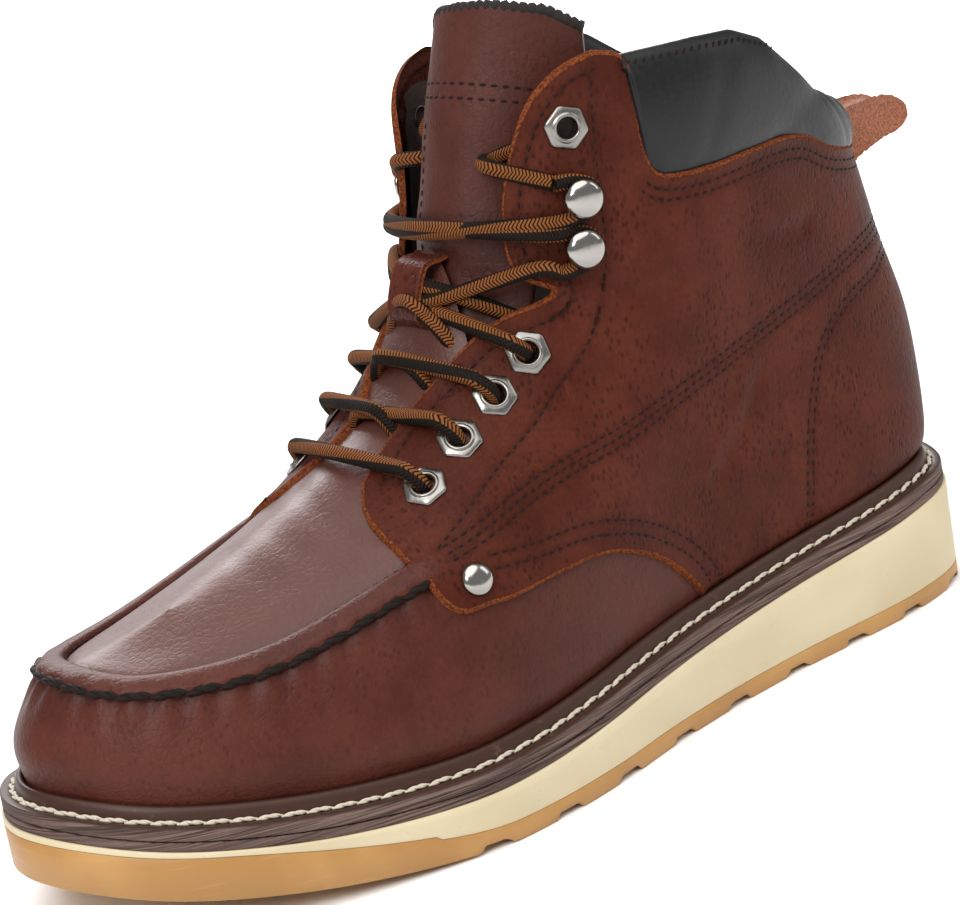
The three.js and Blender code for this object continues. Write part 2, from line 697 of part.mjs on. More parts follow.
// A piece drawn along +Z, stood on the last at a place and turned so that its own Y points up.
function standOn(geometry, at, side, lift) {
  const { point, normal } = frameAt(at, side, lift);
  const right = new THREE.Vector3(0, 0, 1).cross(normal).normalize();
  const up = normal.clone().cross(right);
  const turn = new THREE.Matrix4().makeBasis(right, up, normal).setPosition(point);
  return geometry.clone().applyMatrix4(turn);
}

function above(shift) {
  const edge = sidePoints(TOP_EDGE).map(([x, z]) => [x - shift, z + shift]);
  return sidePrism([...edge, [1.3 * LENGTH, HIGH], [-0.2 * LENGTH - shift, HIGH]], -FAR, FAR);
}

function buildUpper() {
  const outer = lastSolid({ rim: true, ...fine });
  const inner = lastSolid({ lift: -WALL, depth: 6, ...coarse });
  const edge = sidePoints(QUARTER_EDGE);
  const [first] = edge;
  const last = edge[edge.length - 1];
  const quarterOutline = [...edge, [last[0], -FAR], [-FAR, -FAR], [-FAR, HIGH], [first[0], HIGH]];
  const quarters = lastSolid({ step: QUARTER_STEP, ...fine })
    .intersect(sidePrism(quarterOutline, -FAR, FAR));
  const throat = planPrism(throatOutline(), THROAT_LOW * UPPER_HEIGHT, THROAT_HIGH * UPPER_HEIGHT);
  let upper = outer.add(quarters).subtract(inner).subtract(above(0)).subtract(throat);
  for (const side of [1, -1]) {
    for (const at of EYELETS) {
      const drill = new THREE.CylinderGeometry(EYELET_HOLE / 2, EYELET_HOLE / 2, 14, 8).rotateX(Math.PI / 2);
      const press = new THREE.CylinderGeometry(PRESS / 2, PRESS / 2, 6, 12).rotateX(Math.PI / 2);
      upper = upper.subtract(solidFromGeometry(standOn(drill, at, side, 0)))
        .subtract(solidFromGeometry(standOn(press, at, side, QUARTER_STEP + 3)));
    }
  }
  addPiece("upper", upper, materials.leather);
}

const LEATHER_TOP = QUARTER_STEP + GAP;

// The padded collar, from one eyestay's ear round the heel to the other. Its section runs up the outer
// face, over the top and down the inner face: share of its height, and how far it stands off the last
// as a share of PAD_OUTER or, inside, of PAD_INNER.
const PAD_SECTION = [
  { up: 0, off: 0 }, { up: 0.15, off: 0.65 }, { up: 0.38, off: 1 }, { up: 0.62, off: 0.95 },
  { up: 0.82, off: 0.45 }, { up: 0.95, off: -0.15 }, { up: 1, off: -0.5 }, { up: 0.96, off: -0.8 },
  { up: 0.8, off: -1 }, { up: 0.4, off: -1.05 }, { up: 0, off: -0.95 },
];
const PAD_END = 4.05;
const PAD_BELOW = 6;

function heightOn(rows, x) {
  const points = sidePoints(rows);
  const after = Math.max(1, points.findIndex(([along]) => along > x));
  const [fromX, fromZ] = points[after - 1];
  const [toX, toZ] = points[after];
  return mix(fromZ, toZ, Math.min(1, Math.max(0, (x - fromX) / (toX - fromX))));
}

// The level at which a rail reaches the height that a line on the side gives it.
function levelAt(station, side, height) {
  let low = SEAM_LEVEL;
  let high = TOP_LEVEL - 0.001;
  for (let step = 0; step < 24; step += 1) {
    const middle = (low + high) / 2;
    const point = lastPoint(station, side, middle);
    if (point.z < height(point.x)) low = middle;
    else high = middle;
  }
  return (low + high) / 2;
}

function buildPad() {
  const steps = 13;
  const stations = [];
  for (let step = -steps; step <= steps; step += 1) stations.push((PAD_END * step) / steps);
  const sections = stations.map((signed) => {
    const side = signed < 0 ? -1 : 1;
    const station = Math.abs(signed);
    const low = levelAt(station, side, (x) => heightOn(TOP_EDGE.slice(0, 9), x) - PAD_BELOW);
    const high = levelAt(station, side, (x) => heightOn(COLLAR_TOP, x));
    return PAD_SECTION.map(({ up, off }) => {
      const lift = off < 0 ? off * PAD_INNER : off * PAD_OUTER + (off > 0 ? QUARTER_STEP / 2 : 0);
      return liftedPoint(station, side, mix(low, high, up), lift);
    });
  });
  addPiece("collar_pad", loft(sections).intersect(above(0.35)), materials.collar);
}

// The strip up the back of the heel ends at this share of UPPER_HEIGHT.
const BACKSTAY_TOP = 0.83;
const STRIP_LEVELS = [1, 1.5, 2, 2.5, SEAM_LEVEL, 3.6, 4, 4.33, 4.67, TOP_LEVEL];

// The pull loop seen from the side, as shares of LOOP_LENGTH: how far back and how far up.
const LOOP_OUTER = [
  [0, 0.24], [0.2, 0.27], [0.45, 0.3], [0.7, 0.34], [0.9, 0.38], [1, 0.33], [1.02, 0.24], [0.94, 0.12],
  [0.78, 0.04], [0.5, -0.06], [0.3, -0.16], [0.12, -0.27], [0, -0.32],
];
const LOOP_SLOT = [[0.2, 0.1], [0.3, 0.02], [0.55, 0.11], [0.8, 0.2], [0.85, 0.24], [0.55, 0.19], [0.3, 0.14]];

function buildBackstay() {
  const around = { round: FINE, levels: STRIP_LEVELS };
  const outer = lastSolid({ lift: GAP + BACKSTAY, step: QUARTER_STEP, ...around });
  const inner = lastSolid({ lift: GAP, step: QUARTER_STEP, ...around });
  const bottom = seat(0) + RIB_HEIGHT + 3 * GAP;
  const top = BACKSTAY_TOP * UPPER_HEIGHT;
  const half = BACKSTAY_WIDTH / 2;
  const front = LENGTH / 4;
  const slot = planPrism([[-FAR, -half], [front, -half], [front, half], [-FAR, half]], bottom, top);
  addPiece("backstay", outer.subtract(inner).intersect(slot), materials.leather);
  const onTab = ([back, up]) => {
    const z = top + up * LOOP_LENGTH;
    const carrier = lastPoint(0, 1, levelAt(0, 1, () => z)).x - LEATHER_TOP - BACKSTAY - GAP * 1.3;
    return new THREE.Vector2(carrier - back * LOOP_LENGTH, z);
  };
  const tab = new THREE.Shape(LOOP_OUTER.map(onTab));
  tab.holes.push(new THREE.Path(LOOP_SLOT.map(onTab)));
  const strap = new THREE.ExtrudeGeometry(tab, { depth: LOOP_WIDTH, bevelEnabled: false });
  strap.rotateX(Math.PI / 2);
  strap.translate(0, LOOP_WIDTH / 2, 0);
  addPiece("pull_loop", solidFromGeometry(strap), materials.suede);
}

// The ridge at a distance along the boot, moved out by lift.
function ridgePoint(x, lift) {
  let low = RIDGE_TO;
  let high = LAST_STATION;
  for (let step = 0; step < 24; step += 1) {
    const middle = (low + high) / 2;
    if (lastPoint(middle, 1, TOP_LEVEL).x < x) low = middle;
    else high = middle;
  }
  return liftedPoint(low, 1, TOP_LEVEL, lift);
}

// The tongue: under the throat it follows the last from the inside; above the instep its rows are free.
// station: on the ridge. span: levels that it reaches down on each side. lift: at its middle.
const TONGUE_UNDER = [
  { station: 8.15, span: 1.1, lift: -3.9 },
  { station: 7.8, span: 1.15, lift: -3.9 },
  { station: 7.4, span: 1.2, lift: -3.9 },
  { station: 7, span: 1.2, lift: -3.9 },
  { station: 6.6, span: 1.15, lift: -3.4 },
  { station: 6.3, span: 1, lift: -2 },
];
const TONGUE_SWEEP = 0.75;

function tongueUnder({ station, span, lift }, depth) {
  const row = [];
  for (let step = -TONGUE_STEPS; step <= TONGUE_STEPS; step += 2) {
    const share = step / TONGUE_STEPS;
    const side = share < 0 ? -1 : 1;
    const away = mix(lift, -WALL - 2.3, Math.min(1, share * share * 2)) - depth;
    const here = station - TONGUE_SWEEP * share * share;
    row.push(liftedPoint(here, side, TOP_LEVEL - Math.abs(share) * span, away));
  }
  return row;
}

function tongueFree({ along, up, half, drop, sag }, before, depth) {
  const middle = new THREE.Vector3(along * LENGTH, 0, up * UPPER_HEIGHT);
  const onwards = middle.clone().sub(before).normalize();
  const out = new THREE.Vector3(onwards.z, 0, -onwards.x);
  const row = [];
  for (let step = -TONGUE_STEPS; step <= TONGUE_STEPS; step += 2) {
    const share = step / TONGUE_STEPS;
    const wrap = drop * half * BALL_WIDTH * share * share * (0.6 + 0.4 * share * share);
    const thin = depth * (1 - 0.35 * share * share);
    const point = middle.clone().addScaledVector(out, -wrap - thin);
    point.y = share * (half * BALL_WIDTH - thin * 0.8);
    point.z -= sag * UPPER_HEIGHT * share * share;
    row.push(point);
  }
  return row;
}

function buildTongue() {
  const rings = [];
  for (const row of TONGUE_UNDER) {
    rings.push([...tongueUnder(row, 0), ...tongueUnder(row, TONGUE * 0.7).reverse()]);
  }
  const last = TONGUE_UNDER[TONGUE_UNDER.length - 1];
  let before = liftedPoint(last.station, 1, TOP_LEVEL, last.lift);
  for (const row of TONGUE_FREE) {
    rings.push([...tongueFree(row, before, 0), ...tongueFree(row, before, TONGUE).reverse()]);
    before = new THREE.Vector3(row.along * LENGTH, 0, row.up * UPPER_HEIGHT);
  }
  addPiece("tongue", loft(rings), materials.leather);
}

// A strap along the tongue, sewn down at its two ends, that the lace passes under.
const KEEPER = [
  [-0.5, 0.04], [-0.36, 0.04], [-0.3, 0.78], [0.3, 0.78], [0.36, 0.04], [0.5, 0.04], [0.5, 0.24],
  [0.43, 0.26], [0.38, 0.9], [0.33, 1], [-0.33, 1], [-0.38, 0.9], [-0.43, 0.26], [-0.5, 0.24],
];

// The tongue's middle line between its two rows at the instep: a place on it and its two directions.
function keeperFrame() {
  const [low, high] = TONGUE_UNDER.slice(-2).map(({ station, lift }) => (
    liftedPoint(station, 1, TOP_LEVEL, lift)));
  const up = high.clone().sub(low).normalize();
  const out = new THREE.Vector3(up.z, 0, -up.x);
  return { base: low.lerp(high, KEEPER_SHARE), up, out };
}

function buildKeeper() {
  const { base, up, out } = keeperFrame();
  const points = KEEPER.map(([along, off]) => (
    new THREE.Vector2(along * KEEPER_LENGTH, KEEPER_LIFT + off * KEEPER_HEIGHT)));
  const shape = new THREE.Shape(points);
  const strap = new THREE.ExtrudeGeometry(shape, { depth: KEEPER_WIDTH, bevelEnabled: false });
  strap.translate(0, 0, -KEEPER_WIDTH / 2);
  const across = up.clone().cross(out);
  strap.applyMatrix4(new THREE.Matrix4().makeBasis(up, out, across).setPosition(base));
  addPiece("lace_keeper", solidFromGeometry(strap), materials.leather);
}

// Metal

function turned(profilePoints, sides) {
  const points = profilePoints.map(([radius, height]) => new THREE.Vector2(radius, height));
  return new THREE.LatheGeometry(points, sides).rotateX(Math.PI / 2);
}

// A six-sided plate with a raised ring and a short barrel that goes down through the leather.
function eyeletGeometry() {
  const inner = EYELET_HOLE / 2 - 1.1;
  const points = [];
  const index = [];
  const corners = 12;
  for (let corner = 0; corner < corners; corner += 1) {
    const angle = (2 * Math.PI * corner) / corners;
    const plate = (EYELET_ACROSS / 2) * (corner % 2 ? 1 : Math.cos(Math.PI / 6));
    const section = [[plate, 0], [plate, EYELET - 0.3], [inner + 1.9, EYELET], [inner + 0.9, EYELET + 0.5],
      [inner, EYELET], [inner, -4.2], [inner + 0.5, -4.2], [inner + 0.5, 0]];
    const next = (corner + 1) % corners;
    section.forEach(([radius, height], row) => {
      points.push(radius * Math.cos(angle), radius * Math.sin(angle), height);
      const after = (row + 1) % section.length;
      const here = corner * section.length;
      const there = next * section.length;
      index.push(here + row, there + row, there + after, here + row, there + after, here + after);
    });
  }
  const geometry = new THREE.BufferGeometry();
  geometry.setAttribute("position", new THREE.BufferAttribute(new Float32Array(points), 3));
  geometry.setIndex(index);
  return geometry;
}

function buildMetal() {
  const eyelet = eyeletGeometry();
  const dome = turned([[0, 0], [HOOK_POST / 2, 0], [HOOK_POST / 2, HOOK_HEIGHT],
    [HOOK_DISC / 2, HOOK_HEIGHT], [HOOK_DISC / 2 - 0.4, HOOK_HEIGHT + 1], [HOOK_DISC / 3.5, HOOK_HEIGHT + 1.9],
    [0, HOOK_HEIGHT + 2.2]], 11);
  const stud = turned([[0, 0], [RIVET / 2, 0], [RIVET / 2 - 0.3, 0.9], [RIVET / 3.5, 1.9], [0, 2.2]], 12);
  for (const [side, name] of [[1, "lateral"], [-1, "medial"]]) {
    EYELETS.forEach((at, number) => {
      const ring = solidFromGeometry(standOn(eyelet, at, side, LEATHER_TOP));
      addPiece(`eyelet_${name}_${number + 1}`, ring, materials.nickel);
    });
    HOOKS.forEach((at, number) => {
      const hook = solidFromGeometry(standOn(dome, at, side, LEATHER_TOP));
      addPiece(`hook_${name}_${number + 1}`, hook, materials.nickel);
    });
    const rivet = solidFromGeometry(standOn(stud, RIVET_AT, side, LEATHER_TOP));
    addPiece(`rivet_${name}`, rivet, materials.nickel);
  }
}

// Lace

function tube(points, sides) {
  const curve = through(points);
  const steps = (points.length - 1) * 2;
  const rings = [];
  let normal = new THREE.Vector3(0, 0, 1);
  for (let step = 0; step <= steps; step += 1) {
    const centre = curve.getPoint(step / steps);
    const tangent = curve.getTangent(step / steps);
    normal = normal.clone().addScaledVector(tangent, -normal.dot(tangent)).normalize();
    const binormal = tangent.clone().cross(normal);
    const ring = [];
    for (let corner = 0; corner < sides; corner += 1) {
      const angle = (2 * Math.PI * corner) / sides;
      ring.push(centre.clone()
        .addScaledVector(normal, (Math.cos(angle) * LACE) / 2)
        .addScaledVector(binormal, (Math.sin(angle) * LACE) / 2));
    }
    rings.push(ring);
  }
  return loft(rings);
}

const OVER_EYELET = LEATHER_TOP + EYELET + 0.5 + GAP + LACE / 2 + 0.2;
const OVER_LEATHER = LEATHER_TOP + GAP + LACE / 2;

// The lace at an eyelet, seen as a loop: in over the rim below, round at the middle, out above.
function eyeletTurn(number, side) {
  const { point, normal } = frameAt(EYELETS[number], side, OVER_EYELET);
  const right = new THREE.Vector3(0, 0, 1).cross(normal).normalize();
  const up = normal.clone().cross(right);
  const at = (high, lip) => point.clone().addScaledVector(up, high * LACE_TURN)
    .addScaledVector(right, -side * lip * LACE_LIP);
  return [at(-1, 1), at(-1, 0), at(1, 0), at(1, 1)];
}

// Half way from an eyelet's rim to the middle of the tongue, lifted clear of the throat's edge.
function halfWay(from, middle) {
  const out = new THREE.Vector3(0.55, Math.sign(from.y) * 0.45, 0.7).normalize();
  return from.clone().lerp(middle, 0.5).addScaledVector(out, LACE_RISE);
}

// The lace round a hook's post, from below to above.
function hookTurn(at, side) {
  const { point, normal } = frameAt(at, side, OVER_LEATHER);
  const right = new THREE.Vector3(0, 0, 1).cross(normal).normalize();
  const up = normal.clone().cross(right);
  const reach = HOOK_POST / 2 + GAP + LACE / 2 + 0.4;
  const away = right.clone().multiplyScalar(side);
  const turn = [[-1, -1.1], [0.7, -0.75], [0.7, 0.75], [-1, 1.1]];
  return turn.map(([back, high]) => (
    point.clone().addScaledVector(away, back * reach).addScaledVector(up, high * reach)));
}

function buildLace() {
  const over = ({ along, lift }) => ridgePoint(along * LENGTH, lift);
  const bar = [...eyeletTurn(0, 1).slice(0, 2).reverse(), over(BAR), ...eyeletTurn(0, -1).slice(0, 2)];
  bar.splice(2, 1, halfWay(bar[1], bar[2]), bar[2], halfWay(bar[3], bar[2]));
  let lace = tube(bar, LACE_SIDES);
  const { base, up, out } = keeperFrame();
  const ear = (side, height) => (
    frameAt({ along: EAR_EDGE.along, up: height }, side, OVER_LEATHER + EAR_EDGE.lift).point);
  const under = (side, high) => base.clone().addScaledVector(out, LACE / 2 + KEEPER_LIFT + 0.5)
    .addScaledVector(up, high).add(new THREE.Vector3(0, side * 8, 0));
  const middle = new THREE.Vector3(UPPER_CROSSING.along * LENGTH, 0, UPPER_CROSSING.up * UPPER_HEIGHT);
  const ends = {};
  for (const start of [1, -1]) {
    let side = start;
    const points = eyeletTurn(0, side).slice(1);
    CROSSINGS.forEach((at, number) => {
      const turn = eyeletTurn(number + 1, -side);
      const from = points[points.length - 1];
      points.push(halfWay(from, over(at)), over(at), halfWay(turn[0], over(at)), ...turn);
      side = -side;
    });
    const strap = under(side, -1.5);
    points.push(halfWay(points[points.length - 1], strap), strap, under(-side, 1.5));
    points.push(ear(-side, 0.838), ...hookTurn(HOOKS[0], -side));
    points.push(ear(-side, 0.875), middle, ear(side, 0.905), ...hookTurn(HOOKS[1], side));
    lace = lace.add(tube(points, LACE_SIDES));
    ends[side] = points.slice(-2);
  }
  addPiece("laces", lace, materials.lace);
  for (const [side, name] of [[1, "lateral"], [-1, "medial"]]) {
    const [beyond, from] = ends[side];
    const start = from.clone().addScaledVector(from.clone().sub(beyond).normalize(), LACE_GAP);
    const edge = LACE_END.map(({ along, half, up: height }) => (
      new THREE.Vector3(along * LENGTH, side * half * BALL_WIDTH, height * UPPER_HEIGHT)));
    addPiece(`lace_end_${name}`, tube([start, ...edge], LACE_SIDES), materials.lace);
  }
}

buildSole();
buildWelt();
buildInsole();
buildUpper();
buildPad();
buildBackstay();
buildTongue();
buildKeeper();
buildMetal();
buildLace();

// The origin goes to the middle of the footprint, on the floor.
const bounds = new THREE.Box3().setFromObject(boot);
const middle = bounds.getCenter(new THREE.Vector3());
boot.position.set(-middle.x, -middle.y, -bounds.min.z);

export default boot;
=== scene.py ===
# Left work boot with a moccasin toe on a flat wedge sole, dressed for its studio picture.
# Sizes are millimetres from the back of the heel (+X to the toe, +Y to the outer side, +Z up); put()
# turns them into metres in the model's own frame.
import math

import bpy
import numpy as np
from mathutils import Matrix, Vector
from mathutils.geometry import delaunay_2d_cdt
from mathutils.kdtree import KDTree


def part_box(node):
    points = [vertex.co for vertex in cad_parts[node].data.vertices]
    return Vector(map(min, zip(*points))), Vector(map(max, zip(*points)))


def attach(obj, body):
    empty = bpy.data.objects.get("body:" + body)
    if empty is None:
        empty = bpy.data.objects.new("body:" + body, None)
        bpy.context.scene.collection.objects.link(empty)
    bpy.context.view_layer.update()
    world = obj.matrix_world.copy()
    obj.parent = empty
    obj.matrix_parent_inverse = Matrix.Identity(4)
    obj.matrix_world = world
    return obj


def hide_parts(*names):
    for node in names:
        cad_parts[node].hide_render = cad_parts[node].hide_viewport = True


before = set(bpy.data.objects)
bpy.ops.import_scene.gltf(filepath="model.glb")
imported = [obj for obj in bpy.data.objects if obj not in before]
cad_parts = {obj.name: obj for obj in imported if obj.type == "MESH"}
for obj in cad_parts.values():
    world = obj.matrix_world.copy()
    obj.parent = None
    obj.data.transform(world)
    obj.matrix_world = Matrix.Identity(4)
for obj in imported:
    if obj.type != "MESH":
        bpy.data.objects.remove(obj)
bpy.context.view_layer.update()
rng = np.random.default_rng(7)

# Sizes shared with the model
LENGTH = 305.0
BALL_WIDTH = 111.0
UPPER_HEIGHT = 157.0
HEEL_LIFT = 30.7
BALL_LIFT = 13.6
TOE_LIFT = 29.5
TOE_SPRING = 16.2
GUM = 5.2
TOE_GUM = 6.2
GUM_STEP = 1.2
GUM_STEP_AT = 0.73
MIDSOLE = 2.4
WELT_REACH = 7.5
RIB_HEIGHT = 7.0
BULGE_HEIGHT = 18.0
WALL = 2.2
QUARTER_STEP = 1.3
RIM_WIDTH = 8.0
LACE = 4.2
LACE_SIDES = 16
SOFTENING = 24
HALF_RING = 560
TOP_LEVEL = 4.999
LUG_PITCH = 24.0
LUG_NOTCH = 9.0
LUG_DEPTH = 1.7
EDGE_ROUND = 0.25
EDGE_FLARE = 1.2
EDGE_THICK = 2.0
LOOP_HALF = 5.4
LOOP_INSET = 1.2
LOOP_TURN = -1
ROW_SINK = 0.3
CREASE_DEPTH = 0.8
QUARTER_CREASES = [
    [(147, 123), (138, 117), (127, 113.5)], [(143, 138), (133, 126), (121, 119), (110, 117)],
    [(88, 128), (74, 121), (58, 118.5)], [(104, 62), (92, 71), (84, 83)]]
HEAVY_PITCH = 8.4
# Stitches: length, gap, and width and height, or for two-ply thread its thickness and slant
WELT_STITCH = (6.9, -0.6, 0.47, 0.13)
RIM_STITCH = (HEAVY_PITCH + 1, -1, 0.8, 0.08)
PLUG_STITCH = (2.0, 0.9, 0.7, 0.6)
QUARTER_STITCH = (2.6, 0.3, 0.7, 0.55)
PAD_STITCH = (2.2, 0.2, 0.6, 0.5)
TONGUE_STITCH = (2.4, 0.5, 0.8, 0.6)
# Toe, rim, creases and loop
PUCKER = 0.55
RIM_RISE = 2.5
PLUG_CREASES = [
    ([(206, 26), (210, 12), (209, 0), (204, -10)], 0.3, 2.4), ([(216, 25), (222, 12), (221, -2)], 0.22, 2.6),
    ([(231, 18), (233, 4), (229, -12)], 0.15, 3.0)]

# Stations round the last: along, lateral, medial, bulge (shares of LENGTH, BALL_WIDTH, WELT_REACH)
SOLE_EDGE = np.array([
    (0, 0, 0, 0.32), (0.033, 0.243, -0.216, 0.32), (0.125, 0.342, -0.33, 0.3), (0.28, 0.366, -0.315, 0.27),
    (0.38, 0.396, -0.31, 0.32), (0.46, 0.437, -0.333, 0.37), (0.54, 0.491, -0.378, 0.4),
    (0.62, 0.522, -0.437, 0.4), (0.705, 0.514, -0.477, 0.37), (0.845, 0.405, -0.473, 0.24),
    (0.95, 0.24, -0.333, 0.08), (1, -0.045, -0.045, 0.03)])
# Levels up the last: along, height, lateral, medial
MID_LINE = np.array([
    (0.016, 0.3, 0, 0), (0.039, 0.305, 0.18, -0.17), (0.118, 0.32, 0.275, -0.26), (0.275, 0.34, 0.315, -0.29),
    (0.367, 0.35, 0.34, -0.3), (0.452, 0.357, 0.37, -0.315), (0.538, 0.35, 0.39, -0.34),
    (0.616, 0.334, 0.41, -0.36), (0.695, 0.31, 0.385, -0.37), (0.82, 0.242, 0.311, -0.35),
    (0.915, 0.218, 0.171, -0.234), (0.943, 0.222, -0.036, -0.036)])
INSTEP_LINE = np.array([
    (0.036, 0.476, 0, 0), (0.056, 0.484, 0.158, -0.15), (0.131, 0.522, 0.26, -0.25),
    (0.272, 0.6, 0.333, -0.32),
    (0.364, 0.625, 0.347, -0.333), (0.459, 0.637, 0.284, -0.275), (0.525, 0.537, 0.243, -0.235),
    (0.6, 0.46, 0.248, -0.235), (0.679, 0.388, 0.225, -0.216), (0.803, 0.304, 0.17, -0.19),
    (0.865, 0.27, 0.09, -0.126), (0.885, 0.268, -0.031, -0.031)])
RIDGE_LINE = np.array([
    (0.062, 0.755, 0, 0), (0.082, 0.765, 0.144, -0.135), (0.144, 0.85, 0.28, -0.27),
    (0.269, 0.99, 0.378, -0.37),
    (0.37, 1.028, 0.342, -0.333), (0.459, 1.038, 0.252, -0.243), (0.495, 0.828, 0, 0), (0.577, 0.551, 0, 0),
    (0.672, 0.444, 0, 0), (0.787, 0.35, 0, 0), (0.82, 0.325, 0, 0), (0.833, 0.317, 0, 0)])
LAST_STATION = 11
SEAM = 3.0


def smooth_step(low, high, value):
    share = np.clip((value - low) / (high - low), 0, 1)
    return share * share * (3 - 2 * share)


def mix(a, b, share):
    return a + (b - a) * share


def rise(x, start):
    return np.clip((x / LENGTH - start) / (1 - start), 0, None) ** 2


def sole_bottom(x):
    return TOE_SPRING * rise(x, 0.62)


def wedge_top(x):
    slope = (BALL_LIFT - HEEL_LIFT) / 0.672
    return HEEL_LIFT + slope * (x / LENGTH) + (TOE_LIFT - HEEL_LIFT - slope) * rise(x, 0.59)


def gum_top(x):
    step = np.where(x / LENGTH > GUM_STEP_AT, GUM_STEP, 0)
    return sole_bottom(x) + GUM + step + (TOE_GUM - step) * smooth_step(0.65, 0.9, x / LENGTH)


def seat(x):
    return wedge_top(x) + MIDSOLE


def cubic(a, b, c, d, share):
    square = share * share
    cube = square * share
    return ((2 * cube - 3 * square + 1) * b + (cube - 2 * square + share) * (c - a) / 2
            + (3 * square - 2 * cube) * c + (cube - square) * (d - b) / 2)


def round_the_last(here, there, u):
    """A column's value at station u; past its ends the column goes on down the other side."""
    column = np.concatenate([[there[1]], here, [there[-2]]])
    row = np.clip(np.floor(u).astype(int), 0, LAST_STATION - 1)
    return cubic(column[row], column[row + 1], column[row + 2], column[row + 3], u - row)


def sole_edge(u, side, inset):
    def at(place):
        here, there = (SOLE_EDGE[:, 1], SOLE_EDGE[:, 2])[::side]
        return np.stack([round_the_last(SOLE_EDGE[:, 0], SOLE_EDGE[:, 0], place) * LENGTH,
                         round_the_last(here, there, place) * BALL_WIDTH], -1)
    way = at(np.minimum(u + 1e-3, LAST_STATION)) - at(np.maximum(u - 1e-3, 0))
    way /= np.linalg.norm(way, axis=-1, keepdims=True)
    inward = np.stack([way[..., 1], -way[..., 0]], -1) * side
    return at(u) + inward * np.asarray(inset)[..., None]


def level_point(line, u, side):
    here, there = (line[:, 2], line[:, 3])[::side]
    x = round_the_last(line[:, 0], line[:, 0], u) * LENGTH
    y = round_the_last(here, there, u) * BALL_WIDTH
    if line is RIDGE_LINE:
        y = np.maximum(0, y) if side > 0 else np.minimum(0, y)
    z = seat(x) + round_the_last(line[:, 1], line[:, 1], u) * UPPER_HEIGHT
    return np.stack([x, y, z], -1)


def one_side(u, side, v):
    """Points of the last on one side; u and v are arrays of one shape."""
    foot = sole_edge(u, side, np.full_like(u, WELT_REACH))
    row = np.clip(np.floor(u).astype(int), 0, LAST_STATION - 1)
    bulge = mix(SOLE_EDGE[row, 3], SOLE_EDGE[row + 1, 3], u - row) * WELT_REACH
    swell = sole_edge(u, side, WELT_REACH - bulge)
    rail = [
        np.concatenate([foot, (seat(foot[..., 0]) + 0.3)[..., None]], -1),
        np.concatenate([foot, (seat(foot[..., 0]) + RIB_HEIGHT)[..., None]], -1),
        np.concatenate([swell, (seat(swell[..., 0]) + BULGE_HEIGHT)[..., None]], -1),
        level_point(MID_LINE, u, side), level_point(INSTEP_LINE, u, side), level_point(RIDGE_LINE, u, side)]
    across = level_point(INSTEP_LINE, u, -side)
    crease = smooth_step(6.9, 7.8, u)[..., None]
    ridge = smooth_step(5.2, 6.0, u)[..., None]
    low = np.clip(np.floor(v).astype(int), 0, 4)
    share = (v - low)[..., None]
    before_seam = mix(rail[4], 2 * rail[3] - rail[2], crease)
    after_seam = mix(rail[2], 2 * rail[3] - rail[4], crease)
    beyond = mix(2 * rail[5] - rail[4], across, ridge)
    spans = [
        mix(rail[0], rail[1], share),
        cubic(2 * rail[1] - rail[2], rail[1], rail[2], rail[3], share),
        cubic(rail[1], rail[2], rail[3], before_seam, share),
        cubic(after_seam, rail[3], rail[4], rail[5], share),
        cubic(rail[3], rail[4], rail[5], beyond, share)]
    return np.choose(np.broadcast_to(low[..., None], share.shape[:-1] + (3,)), spans)


def last_point(u, side, v):
    u, side, v = np.broadcast_arrays(np.asarray(u, float), np.asarray(side), np.asarray(v, float))
    return np.where((side > 0)[..., None], one_side(u, 1, v), one_side(u, -1, v))


def last_normal(u, side, v):
    u, side, v = np.broadcast_arrays(np.asarray(u, float), np.asarray(side), np.asarray(v, float))
    step = 0.004
    ahead, behind = np.minimum(u + step, LAST_STATION), np.maximum(u - step, 0)
    forward = last_point(ahead, side, v) - last_point(behind, side, v)
    up = last_point(u, side, np.minimum(v + step, TOP_LEVEL)) - last_point(u, side, v - step)
    normal = np.cross(up, forward) * side[..., None]
    return normal / np.linalg.norm(normal, axis=-1, keepdims=True)


def lifted(u, side, v, lift):
    normal = last_normal(u, side, v)
    side = np.broadcast_to(np.asarray(side), normal.shape[:-1])
    on_ridge = np.broadcast_to((np.asarray(v) >= TOP_LEVEL) & (np.asarray(u) > 6), normal.shape[:-1])
    flat = normal * np.array([1, 0, 1])
    flat /= np.linalg.norm(flat, axis=-1, keepdims=True)
    normal = np.where(on_ridge[..., None], flat, normal)
    return last_point(u, side, v) + normal * np.asarray(lift)[..., None]


GRID_U, GRID_V = np.meshgrid(np.linspace(0, 11, 221), np.linspace(1, 4.98, 120), indexing="ij")
GRID = {side: last_point(GRID_U, side, GRID_V).reshape(-1, 3) for side in (1, -1)}
GRID_OUT = {side: last_normal(GRID_U, side, GRID_V).reshape(-1, 3) for side in (1, -1)}


